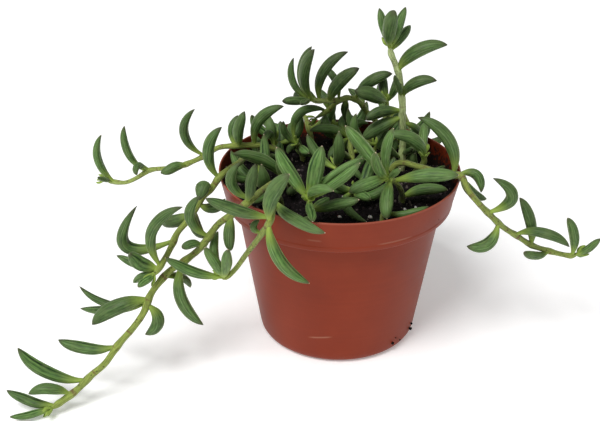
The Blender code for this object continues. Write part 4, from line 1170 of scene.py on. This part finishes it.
def make_soil(finish):
    """The plug of soil: its relief on top, and plain sides and bottom that only the drain holes show."""
    points, faces = soil_top()
    upper = 0
    for radius, height in (
            (POT_COLLAR_FOOT_RADIUS - POT_WALL - FIT_GAP, COLLAR_FOOT + POT_WALL),
            (POT_BODY_TOP_RADIUS - POT_WALL - FIT_GAP, COLLAR_FOOT - POT_LEDGE_DROP),
            (POT_BASE_RADIUS - POT_WALL - FIT_GAP, POT_CORNER_RADIUS),
            (POT_BASE_RADIUS - POT_CORNER_RADIUS, POT_WALL + FIT_GAP)):
        faces += band(len(points), upper, SOIL_TURN_SIDES)
        upper = len(points)
        points += ring(radius, height, SOIL_TURN_SIDES)
    faces.append(tuple(reversed(range(upper, upper + SOIL_TURN_SIDES))))
    return mesh_object("peat_plug", points, faces, finish)


def leaf_outline(part):
    """The share of its half width that a leaf has at each part of its length, a softened LEAF_OUTLINE."""
    fine = np.linspace(0, 1, OUTLINE_POINTS)
    shares = np.interp(fine, *zip(*LEAF_OUTLINE))
    weights = np.hanning(2 * OUTLINE_SOFTENING + 1)
    padded = np.pad(shares, OUTLINE_SOFTENING, mode="reflect", reflect_type="odd")
    smooth = np.convolve(padded, weights / weights.sum(), mode="valid")
    return np.maximum(np.interp(part, fine, smooth), LEAF_POINT_SHARE)


def above_floor(line, radius):
    """The line raised where its flesh would sink below the surface that the pot stands on."""
    raised = line.copy()
    raised[:, 2] = np.maximum(line[:, 2], radius * FLOOR_ROOM)
    return raised


def leaf_guide(leaf, tone, seed):
    """A leaf's guide line with its radius, its bow, and what its skin is coloured by."""
    base, tip, bow, sag, width = leaf
    part = 1 - (1 - np.linspace(0, 1, LEAF_LENGTH_RINGS))**LEAF_TIP_CROWDING
    line = leaf_line(base, tip, bow, sag, part)
    ahead = unit_rows(np.gradient(line, axis=0))
    outer = unit_rows(np.cross(np.cross(tip - base, bow), ahead))
    twist = (LEAF_TWIST * (2 * seed - 1) * part)[:, None]
    turned_outer = np.cos(twist) * outer + np.sin(twist) * np.cross(ahead, outer)
    wave = LEAF_WAVE * np.sin(2 * math.pi * (LEAF_WAVES * part + seed)) * np.sin(math.pi * part)
    line = line + wave[:, None] * np.cross(ahead, outer)
    skew = np.interp(SKEW_DRAW * seed % 1, (0, 1), LEAF_SKEWS)
    radius = 0.5 * width * leaf_outline(part**skew)
    size = len(part)
    return above_floor(line, radius), {
        "radius": MM * radius, "bow": turned_outer, "part": part,
        "tone": np.full(size, tone), "seed": np.full(size, seed)}


def bud_leaves(route, draw):
    """The small young leaves round a growing tip."""
    line, _ = smooth_route(route, FINE_STEP)
    ahead = unit(line[-1] - line[-3])
    turn = draw.uniform(0, 2 * math.pi)
    leaves = []
    for _ in range(BUD_LEAVES):
        out = outward(ahead, BUD_START, turn)
        length = draw.uniform(*BUD_LENGTHS)
        tip = line[-1] + unit(ahead + BUD_SPREAD * out) * length
        leaves.append((line[-1] - ahead, tip, unit(out), BUD_SAG_SHARE * length, BUD_WIDTH_SHARE * length))
        turn += SPIRAL_STEP
    return leaves


def stem_guide(thick, thin, route, bases, tones, draw):
    """A stem's guide line: thicker where leaves grow, scarred where they fell, and tapered at its tip."""
    line, places = smooth_route(route, STEM_RING_STEP)
    across, ways = np.array([1.0, 0.2, 0.0]), []
    for way in unit_rows(np.gradient(line, axis=0)):
        across = square_to(across, way)
        ways.append(across)
    near = np.full(len(line), 1e3)
    for base in bases:
        near = np.minimum(near, np.linalg.norm(line - base, axis=1))
    radius = STEM_ROUND_SHARE * np.linspace(thick, thin, len(line))
    radius += STEM_NODE_SWELL * np.exp(-(near / STEM_NODE_REACH)**2)
    radius *= np.clip((places[-1] - places) / STEM_TIP_TAPER, STEM_POINT_SHARE, 1.0)**0.5
    scar = LEAF_ROOT_SCAR * np.exp(-(near / SCAR_REACH)**2)
    reach = draw.uniform(SCAR_SPACING, 2 * SCAR_SPACING)
    while reach < places[-1] - SCAR_SPACING:
        mark = np.exp(-((places - reach) / SCAR_REACH)**2)
        scar = np.maximum(scar, mark)
        radius += SCAR_SWELL * mark
        reach += draw.uniform(*SCAR_SPREAD) * SCAR_SPACING
    line = above_floor(line, radius)
    return line, {
        "radius": MM * radius, "bow": np.array(ways), "part": places / STEM_STRIPE_LENGTH,
        "tone": np.linspace(*tones, len(line)), "scar": scar}


def finish_piece(piece, slot, *nodes):
    """Attaches a piece to the root body and hides the solids of the given nodes. The slot is not used."""
    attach(piece, "root")
    if nodes:
        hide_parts(*nodes)


def make_shoots(stems, flesh, leaf_finish, stem_finish):
    """Every shoot's stems and leaves, in the place of its solid."""
    draw = random.Random(BUD_SEED)
    leaf_section = {
        "Sides": LEAF_SECTION_SIDES, "Thickness": LEAF_THICKNESS, "Groove Depth": LEAF_GROOVE_DEPTH,
        "Groove Width": LEAF_GROOVE_WIDTH, "Rib Count": float(LEAF_RIBS), "Rib Depth": LEAF_RIB_DEPTH,
        "Skin": leaf_finish}
    stem_section = {
        "Sides": STEM_SECTION_SIDES, "Thickness": 1.0, "Groove Depth": 0.0, "Groove Width": 1.0,
        "Rib Count": float(STEM_RIBS), "Rib Depth": STEM_RIB_DEPTH, "Skin": stem_finish}
    for name, leaves in placed_leaves(stems).items():
        parts = stem_parts(name, stems)
        bases = [leaf[0] for leaf in leaves]
        tones = STEM_TONES.get(name, OTHER_STEM_TONES)
        lines = [stem_guide(*part, bases, tones, draw) for part in parts]
        finish_piece(grow(guide_object(f"{name}_stem", lines), flesh, stem_section), "stem", name)
        guides = []
        tips = [np.array(route[-1], float) for _, _, route in parts]
        for leaf in leaves:
            young = math.exp(-min(np.linalg.norm(leaf[0] - tip) for tip in tips) / YOUNG_REACH)
            tone = SHOOT_TONES.get(name, HIDDEN_SHOOT_TONE) + TIP_BRIGHTENING * young
            if np.linalg.norm(leaf[1] - leaf[0]) < NEW_LEAF_LENGTH:
                tone += NEW_LEAF_BRIGHTENING * young
            guides.append(leaf_guide(leaf, tone + draw.uniform(-TONE_SPREAD, TONE_SPREAD), draw.random()))
        for _, _, route in parts:
            guides += [leaf_guide(leaf, BUD_TONE, draw.random()) for leaf in bud_leaves(route, draw)]
        finish_piece(grow(guide_object(f"{name}_leaves", guides), flesh, leaf_section), "leaf", name)


def make_grains(crumb_finish, perlite_finish):
    """Crumbs, fibres and perlite that lie on the soil."""
    grains = grain_tree()
    for name, per_square_metre, smallest, largest, roundness, lumpiness, finish in GRAINS:
        ground = mesh_object(name, *soil_top())
        grow(ground, grains, {
            "Grains per Square Metre": float(per_square_metre),
            "Smallest": tuple(MM * size for size in smallest),
            "Largest": tuple(MM * size for size in largest),
            "Roundness": roundness,
            "Lumpiness": lumpiness,
            "Seed": CRUMB_SEED + len(name),
            "Grain Finish": perlite_finish if finish == "perlite" else crumb_finish})
        finish_piece(ground, "soil")


def make_stuck_crumbs(finish):
    """The few lumpy crumbs that stick to the pot's outer wall."""
    turns = np.linspace(math.pi, 0, STUCK_CRUMB_RINGS)
    points, faces = [], []
    for middle, size in STUCK_CRUMBS:
        profile = [(size * math.sin(turn), size * math.cos(turn)) for turn in turns]
        ball, sides = turned(profile, STUCK_CRUMB_SIDES)
        start = len(points)
        for point in ball:
            lump = 1 + STUCK_CRUMB_LUMPINESS * noise.noise(Vector(point) + Vector(middle))
            points.append(np.array(middle) + lump * np.array(point))
        faces += [tuple(start + corner for corner in face) for face in sides]
    finish_piece(mesh_object("stuck_crumbs", points, faces, finish), "soil")


def make_stage():
    """White paper under the pot, a wide soft light from the upper left, and even light from all round."""
    half = PAPER_HALF_WIDTH
    corners = [(x, y, FLOOR_HEIGHT) for x, y in ((-half, -half), (half, -half), (half, half), (-half, half))]
    floor = mesh_object("paper_floor", corners, [(0, 1, 2, 3)], studio_paper())
    light = bpy.data.lights.new("key_softbox", "AREA")
    light.shape = "DISK"
    light.size = MM * KEY_SIZE
    light.energy = KEY_POWER
    holder = linked("key_softbox", light)
    holder.location = MM * Vector(KEY_PLACE)
    aim = Vector((0, 0, MM * CAMERA_AIM_HEIGHT)) - holder.location
    holder.rotation_euler = aim.to_track_quat("-Z", "Y").to_euler()
    world = bpy.data.worlds.new("even_studio_light")
    world.use_nodes = True
    feed(world.node_tree.nodes["Background"], {"Color": "ffffff", "Strength": WORLD_STRENGTH})
    bpy.context.scene.world = world
    bpy.context.scene.view_settings.view_transform = "Standard"


def make_camera():
    """The photograph's view: from the front and 29.5 degrees above the table, turned a little left and up."""
    rise = math.radians(CAMERA_ELEVATION)
    dip, yaw = math.radians(CAMERA_ELEVATION - CAMERA_PITCH), math.radians(-CAMERA_YAW)
    place = MM * Vector((
        0.0, -CAMERA_DISTANCE * math.cos(rise), CAMERA_DISTANCE * math.sin(rise) + CAMERA_AIM_HEIGHT))
    ahead = Vector((math.sin(yaw) * math.cos(dip), math.cos(yaw) * math.cos(dip), -math.sin(dip)))
    right = ahead.cross(Vector((0, 0, 1))).normalized()
    turn = Matrix((right, right.cross(ahead), -ahead)).transposed().to_4x4()
    camera = bpy.data.cameras.new("photo_camera")
    camera.lens = CAMERA_LENS
    camera.sensor_width = CAMERA_SENSOR
    holder = linked("photo_camera", camera)
    holder.matrix_world = Matrix.Translation(place) @ turn
    bpy.context.scene.camera = holder


def main():
    stems = all_stems()
    make_camera()
    make_stage()
    crumb_finish = peat("peat_crumb", True)
    finish_piece(make_pot(pot_plastic()), "pot", "pot")
    finish_piece(make_soil(peat("peat_bed", False)), "soil", "soil")
    make_grains(crumb_finish, perlite_glass())
    make_stuck_crumbs(crumb_finish)
    make_shoots(stems, flesh_tree(), leaf_skin(), stem_skin())


main()
